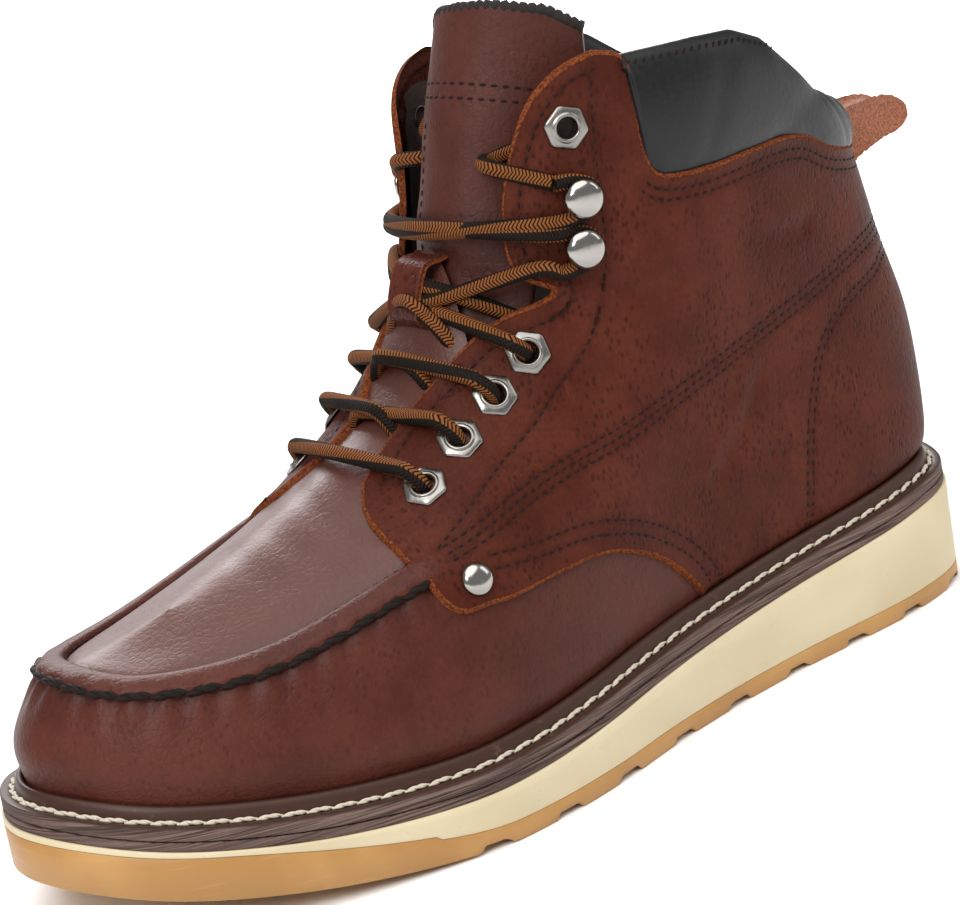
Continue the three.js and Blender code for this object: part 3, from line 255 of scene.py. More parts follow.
def locate(targets, side, axes=(0, 1, 2)):
    """The station and level whose point lies nearest to each target, seen along the axes left out."""
    targets = np.asarray(targets, float)
    axes = list(axes)
    hidden = np.zeros(len(GRID[side]))
    if axes == [0, 2]:
        hidden = np.where(GRID_OUT[side][:, 1] * side < -0.05, 1e6, 0)
    if axes == [0, 1]:
        hidden = np.where(GRID_OUT[side][:, 2] < 0.05, 1e6, 0)
    found = []
    for target in targets:
        miss = ((GRID[side][:, axes] - target) ** 2).sum(1) + hidden
        best = int(np.argmin(miss))
        found.append((GRID_U.ravel()[best], GRID_V.ravel()[best]))
    u, v = np.array(found).T
    reach = 0.05
    offsets = np.linspace(-1, 1, 7)
    du, dv = [a.ravel() for a in np.meshgrid(offsets, offsets)]
    for _ in range(7):
        tries_u = np.clip(u[:, None] + du * reach, 0, LAST_STATION)
        tries_v = np.clip(v[:, None] + dv * reach, 0.5, TOP_LEVEL)
        miss = ((last_point(tries_u, side, tries_v)[..., axes] - targets[:, None, :]) ** 2).sum(-1)
        best = miss.argmin(1)
        pick = np.arange(len(u))
        u, v = tries_u[pick, best], tries_v[pick, best]
        reach *= 0.4
    return np.stack([u, v], 1)


# The model's frame
edge_low = min(sole_edge(np.linspace(0, 11, 600), -1, np.zeros(600))[:, 1])
box_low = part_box("outsole")[0]
OFFSET = np.array([box_low[0] * 1000, box_low[1] * 1000 - edge_low, 0.0])


def put(points):
    return (np.asarray(points, float) + OFFSET) / 1000


# Camera: where it stands and which way it looks, worked out from the photograph
EYE = np.array([571.9, 605.7, 293.2])
RIGHT = (-0.78142, 0.60059, -0.16936)
UP = (-0.30125, -0.12539, 0.94527)
BACK = (0.54648, 0.78967, 0.2789)
LENS = 107.46

scene = bpy.context.scene
camera_data = bpy.data.cameras.new("camera")
camera_data.lens = LENS
camera_data.sensor_width = 36
camera_data.clip_start = 0.05
camera_data.clip_end = 20
camera = bpy.data.objects.new("camera", camera_data)
turn = Matrix((RIGHT, UP, BACK)).transposed().to_4x4()
camera.matrix_world = Matrix.Translation(put(EYE)) @ turn
scene.collection.objects.link(camera)
scene.camera = camera


# Meshes

def add_mesh(name, points, faces, material, nodes=(), masks=None, uv=None):
    """A piece on the root body; masks are weights per point and uv a turn and a length per point."""
    mesh = bpy.data.meshes.new(name)
    mesh.from_pydata(put(points).tolist(), [], [list(map(int, face)) for face in faces])
    mesh.polygons.foreach_set("use_smooth", np.ones(len(mesh.polygons), bool))
    for mask, values in (masks or {}).items():
        layer = mesh.attributes.new(mask, "FLOAT", "POINT")
        layer.data.foreach_set("value", np.asarray(values, np.float32))
    if uv is not None:
        layer = mesh.uv_layers.new(name="around")
        corners = np.empty(len(mesh.loops), np.int32)
        mesh.loops.foreach_get("vertex_index", corners)
        first = np.empty(len(mesh.polygons), np.int32)
        mesh.polygons.foreach_get("loop_start", first)
        total = np.diff(np.append(first, len(corners)))
        uv = np.asarray(uv, np.float32)[corners]
        start = np.repeat(uv[first, 0], total)
        uv[:, 0] = start + (uv[:, 0] - start + 0.5) % 1 - 0.5
        layer.data.foreach_set("uv", uv.ravel())
    mesh.update()
    mesh.materials.append(material)
    obj = bpy.data.objects.new(name, mesh)
    scene.collection.objects.link(obj)
    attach(obj, "root")
    if nodes:
        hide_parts(*nodes)
    return obj


def grid_faces(rows, columns, wrap_rows=False, wrap_columns=False, flip=False):
    row = np.arange(rows if wrap_rows else rows - 1)
    column = np.arange(columns if wrap_columns else columns - 1)
    r, c = np.meshgrid(row, column, indexing="ij")
    r, c = r.ravel(), c.ravel()
    below, beside = (r + 1) % rows, (c + 1) % columns
    row, below = r * columns, below * columns
    quads = np.stack([row + c, row + beside, below + beside, below + c], 1)
    return quads[:, ::-1] if flip else quads


def joined(parts):
    """Points, faces and masks of several meshes as one."""
    points, faces, masks, start = [], [], {}, 0
    for part in parts:
        part_points, part_faces = part[0], part[1]
        points.append(part_points)
        faces.extend([[int(c) + start for c in face] for face in part_faces])
        start += len(part_points)
        for mask, values in (part[2] if len(part) > 2 else {}).items():
            masks.setdefault(mask, []).append(np.broadcast_to(values, len(part_points)))
    return np.concatenate(points), faces, {mask: np.concatenate(values) for mask, values in masks.items()}


def add_joined(name, parts, material, nodes=()):
    points, faces, _ = joined([part for part in parts if len(part[0])])
    add_mesh(name, points, faces, material, nodes)


def unit(vectors):
    return vectors / np.maximum(np.linalg.norm(vectors, axis=-1, keepdims=True), 1e-9)


def lengths(points):
    """How far along a line each of its points lies."""
    return np.concatenate([[0], np.cumsum(np.linalg.norm(np.diff(points, axis=0), axis=1))])


def smooth_curve(points, steps=12):
    """A curve through points in any number of dimensions."""
    points = np.asarray(points, float)
    ends = np.concatenate([[2 * points[0] - points[1]], points, [2 * points[-1] - points[-2]]])
    rows = []
    for row in range(len(points) - 1):
        share = np.linspace(0, 1, steps, endpoint=False)[:, None]
        rows.append(cubic(ends[row], ends[row + 1], ends[row + 2], ends[row + 3], share))
    return np.concatenate(rows + [points[-1:]])


def spaced(points, spacing, carried=None):
    """A line cut into even steps; carried values are cut with it."""
    points = np.asarray(points, float)
    along = lengths(points)
    count = max(2, int(round(along[-1] / spacing)) + 1)
    marks = np.linspace(0, along[-1], count)
    source = points if carried is None else np.asarray(carried, float)
    return np.stack([np.interp(marks, along, source[:, axis]) for axis in range(source.shape[1])], 1)


def frames_along(points, start=(0, 0, 1)):
    """A direction along, and two across, that turn as little as they can."""
    along = unit(np.gradient(points, axis=0))
    across = np.empty_like(points)
    normal = np.asarray(start, float)
    for step, tangent in enumerate(along):
        normal = unit(normal - tangent * normal.dot(tangent))
        across[step] = normal
    return along, across, np.cross(along, across)


def tube(points, radius, sides=12, start=(0, 0, 1), caps=True):
    points = np.asarray(points, float)
    _, first, second = frames_along(points, start)
    angle = np.linspace(0, 2 * np.pi, sides, endpoint=False)
    radius = np.broadcast_to(radius, len(points))[:, None, None]
    ring = np.cos(angle)[None, :, None] * first[:, None] + np.sin(angle)[None, :, None] * second[:, None]
    body = (points[:, None] + ring * radius).reshape(-1, 3)
    faces = grid_faces(len(points), sides, wrap_columns=True).tolist()
    if caps:
        faces.append(list(range(sides)))
        faces.append(list(range(len(body) - sides, len(body)))[::-1])
    return body, faces


def nearest(points, targets):
    """Distance from each point to the nearest target."""
    tree = KDTree(len(targets))
    for number, target in enumerate(targets):
        tree.insert(target, number)
    tree.balance()
    return np.array([tree.find(point)[2] for point in points])


# Places on the upper

def surface_line(picks, side, axes=(0, 2), spacing=1.0, curve=True):
    """Stations and levels, one step apart, of a line picked on one side of the upper."""
    picks = np.asarray(picks, float)
    line = smooth_curve(picks, 6) if curve and len(picks) > 2 else spaced(picks, 4)
    found = locate(spaced(line, 3.0), side, axes)
    where = last_point(found[:, 0], side, found[:, 1])
    return spaced(where, spacing, found)


def both_sides(picks):
    picks = np.asarray(picks, float)
    return {1: picks, -1: picks * ([1, -0.92, 1] if picks.shape[1] == 3 else 1)}


QUARTER_EDGE = [
    (198.6, 86.6), (203.2, 82.2), (205.1, 77.9), (204.9, 72.1), (204.3, 67.4), (202, 61.6), (198.5, 59.1),
    (192.6, 59.4), (184.2, 58.9), (168, 59.3), (151.9, 58.5), (137.6, 53.3), (128.5, 47.4), (119.3, 38.6),
    (112.8, 29.6)]
THROAT_EDGE = [
    (198.6, 14.5, 86.6), (194.9, 12.7, 88.8), (188, 11.3, 93.6), (180.5, 11.6, 98.7), (172.2, 15.7, 106.2),
    (161.7, 19.5, 114.5), (153.6, 24.1, 118.7), (144.3, 30.1, 121.3), (141.2, 31, 124.2), (143.6, 28, 126.8),
    (147.6, 25.6, 129.6), (148.6, 23.5, 136.2), (146.3, 23, 148.8), (143.2, 25.7, 161), (138.7, 29.5, 172),
    (131, 33.4, 178.6), (122.2, 36.1, 181)]
TOP_EDGE = [(118.2, 180.5), (113.9, 175.5), (113.7, 156.3), (111.6, 148.4), (107.7, 145.3), (95.4, 144),
            (80.8, 144.3), (63.9, 144.3), (52.6, 142.2), (42, 136.6), (30.5, 133), (21, 131.2)]
EYELETS = [(190.5, 85.2), (177.1, 93.6), (163.9, 101.4), (152.6, 110.0), (132.1, 164.6)]
HOOKS = [(134.0, 133.7), (132.1, 146.6)]
RIVET_AT = (193.4, 65.0)

EYESTAY_ROW = [
    (198.7, 72.8), (178.1, 84.1), (160.8, 92), (149.2, 100.1), (138.4, 107.9), (131.4, 117.1), (127.3, 130.9),
    (126.2, 145.8), (126, 151), (124.9, 167), (123.7, 175.5)]
BAND = [
    (197.5, 71.8), (174, 78.2), (153.8, 82.1), (133.4, 84.5), (111.4, 89), (88.2, 94.2), (64.1, 99.5),
    (35.3, 105.7), (22, 107.6), (15, 108)]
LOWER_ROW = [
    (187.7, 69.2), (171.5, 67.6), (153.6, 66.4), (135.5, 60.4), (121.8, 51.4), (113.4, 43.1), (105.9, 30.5)]
COUNTER_ROW = [
    (14, 100.2), (21.5, 99.5), (26.7, 97.3), (43.6, 93.3), (55.8, 85.7), (61.8, 75.2),
    (66.5, 62.5), (70, 46.9), (72.9, 32)]


def shifted(line, side, distance):
    """A line on the upper moved sideways by a distance, up being positive for a line towards the heel."""
    points = last_point(line[:, 0], side, line[:, 1])
    normal = last_normal(line[:, 0], side, line[:, 1])
    along = unit(np.gradient(points, axis=0))
    across = np.cross(normal, along) * side
    found = locate(points + across * distance, side)
    return spaced(last_point(found[:, 0], side, found[:, 1]), 1.0, found)


# Panels

def inside(points, polygon):
    x, y = points.T
    hit = np.zeros(len(points), bool)
    for (x0, y0), (x1, y1) in zip(polygon, np.roll(polygon, -1, 0)):
        if y0 == y1:
            continue
        hit ^= ((y0 > y) != (y1 > y)) & (x < (x1 - x0) * (y - y0) / (y1 - y0) + x0)
    return hit


def triangles_within(outline, inner):
    """Triangles over the inside of a flat outline, through the inner points."""
    corners = [tuple(p) for p in np.concatenate([outline, inner]).tolist()]
    loop = list(range(len(outline)))
    edges = list(zip(loop, loop[1:] + loop[:1]))
    result = delaunay_2d_cdt(corners, edges, [], 0, 1e-6)
    flat = np.array([tuple(p) for p in result[0]])
    faces = np.array([tuple(face) for face in result[2]])
    keep = inside(flat[faces].mean(1), outline)
    return flat, faces[keep]


def place(flat):
    """Station, side and level of flat places: the station is counted from the heel, medial ones below 0."""
    return np.abs(flat[:, 0]), np.where(flat[:, 0] >= 0, 1, -1), flat[:, 1]


def lattice(low, high, step):
    """Flat places about one step apart, from station low to high and over all levels."""
    fine = np.linspace(low, high, 1500)
    where = last_point(np.abs(fine), np.where(fine >= 0, 1, -1), 2.6)
    columns = spaced(where, step, fine[:, None])[:, 0]
    rows = []
    levels = np.linspace(0.6, TOP_LEVEL, 200)
    for number, column in enumerate(columns):
        rail = last_point(abs(column), 1 if column >= 0 else -1, levels)
        marks = spaced(rail, step, levels[:, None])[:, 0]
        if number % 2:
            marks = (marks[1:] + marks[:-1]) / 2
        rows.append(np.stack([np.full(len(marks), column), marks], 1))
    return np.concatenate(rows)


def border(faces):
    """Border edges of some triangles, each with the corner across from it."""
    found = {}
    for a, b, c in faces.tolist():
        for edge, across in (((a, b), c), ((b, c), a), ((c, a), b)):
            key = (min(edge), max(edge))
            found[key] = None if key in found else (edge, across)
    return [entry for entry in found.values() if entry]


def edged(points, faces, normals, hole, masks):
    """A panel with its cut edge: a strip that goes outwards by the flare and down by the thickness."""
    flip = np.cross(points[faces[:, 1]] - points[faces[:, 0]], points[faces[:, 2]] - points[faces[:, 0]])
    backwards = (flip * normals[faces[:, 0]]).sum(1) < 0
    faces = np.where(backwards[:, None], faces[:, ::-1], faces)
    edges = border(faces)
    outwards = np.zeros_like(points)
    for (a, b), across in edges:
        way = unit(points[b] - points[a])
        out = (points[a] + points[b]) / 2 - points[across]
        out = unit(out - way * out.dot(way))
        outwards[a] += out
        outwards[b] += out
    ring = sorted({corner for (a, b), _ in edges for corner in (a, b)})
    names = {corner: number for number, corner in enumerate(ring)}
    out = unit(outwards[ring])
    count, start = len(ring), len(points)
    rows = [points[ring] + out * (EDGE_ROUND + flare) - normals[ring] * sunk
            for flare, sunk in ((-0.1, 0), (EDGE_FLARE * 0.6, 0.45), (EDGE_FLARE, EDGE_THICK))]
    lid_strip, strip = [], []
    for (a, b), _ in edges:
        one, two = start + names[a], start + names[b]
        lid_strip.append([b, a, one, two])
        strip += [[two + row, one + row, one + row + count, two + row + count] for row in (0, count)]
    masks = {mask: np.concatenate([values, np.tile(values[ring], 3)]) for mask, values in masks.items()}
    masks["raw"] = np.concatenate([np.zeros(start), np.ones(3 * count)])
    return np.concatenate([points, *rows]), faces[~hole].tolist() + lid_strip + strip, masks


def folds(points, lines, depth, width):
    """How far points near some lines sink, as a soft trough."""
    away = nearest(points, np.concatenate(lines))
    return depth * np.exp(-(away / width) ** 2)


def line_points(line, side, lift=0.0):
    return lifted(line[:, 0], side, line[:, 1], np.full(len(line), lift))


def stitch_shape(length, width, height):
    angle = np.linspace(0, 2 * np.pi, 7)[:-1]
    shares = np.array([0, 0.12, 0.35, 0.65, 0.88, 1])
    swell = np.array([0.25, 0.75, 1, 1, 0.75, 0.25])
    sink = np.array([-0.9, -0.35, 0, 0, -0.35, -0.9]) * height
    rings = [[((share - 0.5) * length, np.cos(a) * width / 2 * size, np.sin(a) * height / 2 * size + low)
              for a in angle] for share, size, low in zip(shares, swell, sink)]
    points = np.array(rings).reshape(-1, 3)
    return points, grid_faces(len(shares), 6, wrap_columns=True)


def rope_stitches(points, normals, length, gap, thick, slant):
    """Stitches of two-ply thread: each one a pair of strands wound round each other."""
    steps, sides = 15, 6
    share = np.linspace(0, 1, steps)
    taper = np.sin(np.pi * np.clip(share, 0.04, 0.96)) ** 0.45
    wind = share * 7.5
    parts, faces = [], []
    for ply in (0, np.pi):
        centre = np.stack([(share - 0.5) * length, np.cos(wind + ply) * thick * 0.62 * taper,
                           np.sin(wind + ply) * thick * 0.5 * taper + (taper - 1) * thick], 1)
        body, ring = tube(centre, thick * (0.35 + 0.65 * taper), sides, (0, 1, 0.3))
        faces.append(np.array([face for face in ring if len(face) == 4]) + steps * sides * len(parts))
        parts.append(body)
    return laid(np.concatenate(parts), np.concatenate(faces), points, normals, length + gap, slant, 0.03)


def stitches(points, normals, length, gap, width, height, slant=0.0):
    shape, faces = stitch_shape(length, width, height)
    return laid(shape, faces, points, normals, length + gap, slant, 0.06)


def laid(shape, faces, points, normals, pitch, slant, wander):
    """A small shape repeated along a line of points, its own X along the line and Z outwards."""
    along = lengths(points)
    count = int((along[-1] + 1e-6) / pitch)
    if not count:
        return np.zeros((0, 3)), []
    marks = (np.arange(count) + 0.5) * along[-1] / count
    centre = np.stack([np.interp(marks, along, points[:, axis]) for axis in range(3)], 1)
    tangent = unit(np.stack([np.interp(marks, along, row) for row in np.gradient(points, axis=0).T], 1))
    out = unit(np.stack([np.interp(marks, along, normals[:, axis]) for axis in range(3)], 1))
    across = unit(np.cross(out, tangent))
    tangent = unit(tangent + across * (slant + rng.normal(0, wander, (len(marks), 1))))
    across = unit(np.cross(out, tangent))
    body = (centre[:, None] + shape[None, :, :1] * tangent[:, None] + shape[None, :, 1:2] * across[:, None]
            + shape[None, :, 2:] * out[:, None])
    numbers = (np.arange(len(marks)) * len(shape))[:, None, None] + np.asarray(faces)[None]
    return body.reshape(-1, 3), numbers.reshape(-1, 4).tolist()


# Materials

class Look:
    """A material that is built from textures of the object's own coordinates, in metres."""

    def __init__(self, name, **sockets):
        self.material = bpy.data.materials.new(name)
        self.material.use_nodes = True
        self.tree = self.material.node_tree
        self.shader = self.tree.nodes["Principled BSDF"]
        self.place = self.node("ShaderNodeTexCoord").outputs["Object"]
        for socket, value in sockets.items():
            self.set(self.shader.inputs[socket.replace("_", " ").title().replace("Ior", "IOR")], value)

    def set(self, socket, value):
        if isinstance(value, bpy.types.NodeSocket):
            self.tree.links.new(value, socket)
        elif socket.type == "RGBA":
            socket.default_value = (*value[:3], 1)
        else:
            socket.default_value = value

    def node(self, kind, inputs=None, **settings):
        made = self.tree.nodes.new("ShaderNode" + kind.replace("ShaderNode", ""))
        for setting, value in settings.items():
            setattr(made, setting, value)
        for socket, value in (inputs or {}).items():
            self.set(made.inputs[socket], value)
        return made

    def noise(self, scale, detail=3, rough=0.5, stretch=None, turn=(0, 0, 0), distort=0):
        where = self.stretched(stretch, turn) if stretch else self.place
        values = {"Vector": where, "Scale": scale, "Detail": detail, "Roughness": rough}
        return self.node("TexNoise", {**values, "Distortion": distort}).outputs["Fac"]

    def cells(self, scale, feature="F1", stretch=None, turn=(0, 0, 0)):
        where = self.stretched(stretch, turn) if stretch else self.place
        return self.node("TexVoronoi", {"Vector": where, "Scale": scale}, feature=feature).outputs["Distance"]

    def stretched(self, stretch, turn):
        values = {"Vector": self.place, "Scale": stretch, "Rotation": turn}
        return self.node("Mapping", values).outputs["Vector"]

    def fit(self, value, low, high, to_low=0.0, to_high=1.0):
        values = {"Value": value, "From Min": low, "From Max": high, "To Min": to_low, "To Max": to_high}
        return self.node("MapRange", values, interpolation_type="SMOOTHSTEP").outputs["Result"]

    def math(self, operation, a, b=0.0):
        made = self.node("Math", operation=operation)
        self.set(made.inputs[0], a)
        self.set(made.inputs[1], b)
        return made.outputs["Value"]

    def mask(self, name):
        return self.node("Attribute", attribute_name=name).outputs["Fac"]

    def blend(self, share, a, b):
        made = self.node("Mix", {"Factor": share}, data_type="RGBA")
        self.set(made.inputs["A"], a)
        self.set(made.inputs["B"], b)
        return made.outputs["Result"]

    def total(self, *parts):
        """The sum of some heights, each a texture and a size in metres."""
        height = None
        for value, size in parts:
            step = self.math("MULTIPLY", value, size)
            height = step if height is None else self.math("ADD", height, step)
        return height

    def finish(self, color, roughness, height):
        self.set(self.shader.inputs["Base Color"], color)
        self.set(self.shader.inputs["Roughness"], roughness)
        bump = self.node("Bump", {"Height": height, "Distance": 1.0, "Strength": 1.0})
        self.set(self.shader.inputs["Normal"], bump.outputs["Normal"])
        return self.material


RAW_EDGE = (0.27, 0.072, 0.022)
RAW_DARK = (0.075, 0.017, 0.008)


def leather(name, color, dark, gloss=0.45, pits=1.0, grain=1.0, shine=0.0, gleam=0.2):
    look = Look(name, coat_weight=shine, coat_roughness=0.3, specular_ior_level=gleam)
    cloud = look.noise(38, 4, 0.6)
    spots = look.fit(look.cells(620, stretch=(1, 1, 0.62), turn=(0, 0.4, 0)), 0.52, 0.12)
    where = look.fit(look.noise(90, 3), 0.38, 0.62)
    spots = look.math("MULTIPLY", spots, look.math("MULTIPLY", look.math("ADD", where, 0.2), pits))
    line = look.fit(look.cells(480, "DISTANCE_TO_EDGE"), 0.16, 0.0)
    hairs = look.fit(look.noise(260, 3, 0.6, stretch=(1, 1, 0.22), turn=(0, 0.5, 0), distort=1.5), 0.62, 0.74)
    tone = look.blend(look.fit(cloud, 0.3, 0.7), dark, color)
    tone = look.blend(look.math("MULTIPLY", spots, 0.5), tone, tuple(c * 0.35 for c in dark))
    tone = look.blend(look.math("MULTIPLY", line, 0.13), tone, tuple(c * 0.5 for c in dark))
    light = tuple(min(1, c * 2.2 + 0.01) for c in color)
    tone = look.blend(look.math("MULTIPLY", hairs, 0.16 * pits), tone, light)
    # Painted shade: the leather is darkened by the per-point mask in stitch troughs, creases and grooves
    tone = look.blend(look.math("MULTIPLY", look.mask("seam_shade"), 0.5), tone, tuple(c * 0.4 for c in dark))
    fuzz = look.noise(1400, 4, 0.7)
    raw = look.blend(look.fit(fuzz, 0.35, 0.65), RAW_DARK, RAW_EDGE)
    edge = look.mask("raw")
    tone = look.blend(edge, tone, raw)
    rough = look.fit(cloud, 0.2, 0.8, gloss - 0.05, gloss + 0.09)
    rough = look.math("ADD", rough, look.math("MULTIPLY", edge, 0.4))
    height = look.total((line, -0.00005 * grain), (spots, -0.00012),
                        (look.noise(1800, 3, 0.6), 0.00005 * grain),
                        (look.noise(330, 3, 0.5), 0.0002 * grain),
                        (look.math("MULTIPLY", edge, fuzz), 0.0006))
    return look.finish(tone, rough, height)


def plain(name, color, roughness=0.5, grain=0.00005, scale=900, dark=0.75, **sockets):
    look = Look(name, **sockets)
    fine = look.noise(scale, 4, 0.6)
    tone = look.blend(look.fit(fine, 0.3, 0.7), tuple(c * dark for c in color), color)
    rough = look.fit(fine, 0.2, 0.8, roughness - 0.05, roughness + 0.06)
    return look.finish(tone, rough, look.total((fine, grain)))


LEATHER = leather("mahogany_leather", (0.098, 0.023, 0.0125), (0.06, 0.0125, 0.007), gleam=0.07)
TOE = leather("toe_leather", (0.098, 0.025, 0.015), (0.066, 0.0145, 0.009), pits=0.6, gleam=0.16, shine=0.04)
PLUG = leather("plug_leather", (0.1, 0.028, 0.018), (0.08, 0.021, 0.0135), pits=0.15,
               gloss=0.47, shine=0.16, gleam=0.4)
TONGUE = leather("tongue_leather", (0.086, 0.024, 0.017), (0.06, 0.015, 0.01), pits=0.4, grain=0.7, gleam=0.2)
THREAD = plain("thread", (0.018, 0.008, 0.006), 0.7, scale=2500, specular_ior_level=0.15)
HEAVY_THREAD = plain("heavy_thread", (0.014, 0.009, 0.007), 0.6, scale=2500, specular_ior_level=0.12)
CREAM_THREAD = plain("cream_thread", (0.68, 0.6, 0.48), 0.75, scale=2500)
PAD = plain("pad_leather", (0.006, 0.0063, 0.0066), 0.4, 0.0001, 600, specular_ior_level=0.36)
SUEDE = plain("suede", (0.42, 0.125, 0.045), 0.9, 0.0005, 1300, 0.35, sheen_weight=0.3)
BINDING = plain("binding", (0.022, 0.016, 0.013), 0.9, 0.0003, 1600, 0.5)
LINING = plain("lining", (0.05, 0.03, 0.022), 0.85, 0.0002, 800, 0.7)
INSOLE = plain("insole_board", (0.16, 0.1, 0.06), 0.85, 0.0001, 500, 0.8)


# Sole

RING_U = np.concatenate([np.linspace(0, 11, HALF_RING), np.linspace(11, 0, HALF_RING)[1:-1]])
RING_SIDE = np.concatenate([np.ones(HALF_RING, int), -np.ones(HALF_RING - 2, int)])


def edge_ring(inset):
    inset = np.full(len(RING_U), float(inset))
    return np.where((RING_SIDE > 0)[:, None], sole_edge(RING_U, 1, inset), sole_edge(RING_U, -1, inset))


def evened(ring, step=1.4):
    """The same ring's stations and sides at even distances."""
    global RING_U, RING_SIDE
    closed = np.concatenate([ring, ring[:1]])
    along = lengths(closed)
    signed = np.concatenate([RING_U[:HALF_RING], 22 - RING_U[HALF_RING:], [22]])
    marks = np.interp(np.arange(0, along[-1] - step / 2, step), along, signed)
    RING_SIDE = np.where(marks <= 11, 1, -1)
    RING_U = np.where(marks <= 11, marks, 22 - marks)


evened(edge_ring(0))


def band(rows):
    """A closed band round the sole: rows of inset and of a height that is a function of x."""
    points = []
    for inset, height in rows:
        ring = edge_ring(inset)
        points.append(np.concatenate([ring, height(ring[:, 0])[:, None]], 1))
    return np.concatenate(points), grid_faces(len(rows), len(RING_U), wrap_columns=True)


def lid(height, inset, rows=90, across=24, flip=False):
    """A floor over the sole's outline, between its two sides."""
    u = 5.5 - 5.5 * np.cos(np.linspace(0, np.pi, rows))
    near = sole_edge(u, 1, np.full(rows, float(inset)))
    far = sole_edge(u, -1, np.full(rows, float(inset)))
    share = np.linspace(0, 1, across)[None, :, None]
    flat = near[:, None] * (1 - share) + far[:, None] * share
    flat = flat.reshape(-1, 2)
    return np.concatenate([flat, height(flat[:, 0])[:, None]], 1), grid_faces(rows, across, flip=flip)


def notch(x):
    """How deep the tread is cut at x: slanted gaps between the lugs."""
    place_in = (x - LUG_PITCH / 2) % LUG_PITCH
    depth = np.clip(np.minimum(place_in, LUG_NOTCH - place_in) / (LUG_DEPTH / 2), 0, 1)
    return LUG_DEPTH * depth * (x < GUM_STEP_AT * LENGTH) * (x > LUG_PITCH / 2)


def gum_rubber():
    look = Look("gum_rubber", subsurface_weight=0.12, subsurface_radius=(0.004, 0.002, 0.001))
    cloud = look.noise(35, 3, 0.5)
    lines = look.noise(300, 2, 0.5, stretch=(0.12, 0.12, 3.0))
    tone = look.blend(look.fit(cloud, 0.3, 0.7), (0.4, 0.2, 0.055), (0.5, 0.27, 0.085))
    tone = look.blend(look.math("MULTIPLY", look.fit(lines, 0.6, 0.75), 0.25), tone, (0.58, 0.35, 0.14))
    rough = look.fit(cloud, 0.2, 0.8, 0.42, 0.55)
    return look.finish(tone, rough, look.total((lines, 0.0001), (cloud, 0.0003)))


def cream_foam():
    look = Look("cream_foam")
    cloud = look.noise(25, 3, 0.5)
    pores = look.fit(look.cells(900), 0.2, 0.08)
    pores = look.math("MULTIPLY", pores, look.fit(look.noise(200, 2), 0.5, 0.62))
    tone = look.blend(look.fit(cloud, 0.3, 0.7), (0.6, 0.5, 0.315), (0.67, 0.575, 0.385))
    tone = look.blend(look.math("MULTIPLY", pores, 0.35), tone, (0.6, 0.47, 0.27))
    return look.finish(tone, 0.6, look.total((pores, -0.0001), (look.noise(1500, 3, 0.5), 0.00003)))


def stacked(name, smooth_color, smooth_rough):
    """The trimmed edge of the layers: fine lines along it where the mask says so, smooth elsewhere."""
    look = Look(name, specular_ior_level=0.3)
    lines = look.noise(420, 5, 0.7, stretch=(0.06, 0.06, 4.5), turn=(0, 0.05, 0), distort=0.6)
    broad = look.noise(70, 3, 0.6, stretch=(0.3, 0.3, 2))
    tone = look.blend(look.fit(lines, 0.38, 0.66), (0.045, 0.022, 0.018), (0.25, 0.165, 0.135))
    tone = look.blend(look.math("MULTIPLY", look.fit(broad, 0.4, 0.65), 0.4), tone, (0.14, 0.09, 0.075))
    edge = look.mask("edge")
    dust = look.fit(look.noise(260, 4, 0.7), 0.62, 0.72)
    soft = look.blend(look.math("MULTIPLY", dust, 0.25), smooth_color, (0.3, 0.16, 0.1))
    tone = look.blend(edge, soft, tone)
    rough = look.math("ADD", look.math("MULTIPLY", edge, 0.75 - smooth_rough), smooth_rough)
    return look.finish(tone, rough, look.total((look.math("MULTIPLY", lines, edge), 0.0007)))


def metal(name, color, rough, brushed):
    look = Look(name, metallic=1.0)
    fine = look.noise(900, 3, 0.6, stretch=(1, 1, 0.15) if brushed else None)
    tone = look.blend(look.fit(look.noise(160, 2), 0.3, 0.7), tuple(c * 0.9 for c in color), color)
    rough = look.fit(fine, 0.2, 0.8, rough - 0.05, rough + 0.05)
    return look.finish(tone, rough, look.total((fine, 0.00001)))


def braid():
    """Round braided cord: chevrons of orange and of dark threads, with painted shade in the grooves between
    them, by the cord's own coordinates.
    """
    look = Look("braided_lace", specular_ior_level=0.08)
    around = look.node("UVMap", uv_map="around").outputs["UV"]
    parts = look.node("SeparateXYZ", {"Vector": around})
    u, v = parts.outputs["X"], parts.outputs["Y"]
    turned = look.math("ADD", u, look.math("MULTIPLY", v, 0.006))
    column = look.math("MULTIPLY", turned, 8)
    zigzag = look.math("MULTIPLY", look.math("PINGPONG", column, 1), 0.9)
    thread = look.math("FRACT", look.math("ADD", look.math("MULTIPLY", v, 1.05), zigzag))
    ridge_of = look.math("SINE", look.math("MULTIPLY", thread, 3.1416))
    orange = look.math("GREATER_THAN", look.math("FRACT", look.math("MULTIPLY", column, 0.25)), 0.45)
    # Painted shade: the orange fades and the colour goes near black in the grooves between the threads
    orange = look.math("MULTIPLY", orange, look.fit(ridge_of, 0.45, 0.75))
    tone = look.blend(orange, (0.014, 0.01, 0.008), (0.27, 0.09, 0.024))
    tone = look.blend(look.fit(ridge_of, 0.55, 0.1), tone, (0.008, 0.006, 0.005))
    tone = look.blend(look.math("MULTIPLY", look.noise(2200, 3, 0.7), 0.2), tone, (0.03, 0.02, 0.014))
    return look.finish(tone, 0.75, look.total((ridge_of, 0.00032)))


GUM_RUBBER = gum_rubber()
CREAM = cream_foam()
STACK = stacked("stacked_edge", (0.13, 0.085, 0.07), 0.7)
WELT = stacked("welt_leather", (0.05, 0.02, 0.013), 0.42)
NICKEL = metal("brushed_nickel", (0.3, 0.285, 0.26), 0.3, True)
CHROME = metal("polished_nickel", (0.42, 0.4, 0.37), 0.16, False)
LACING = braid()


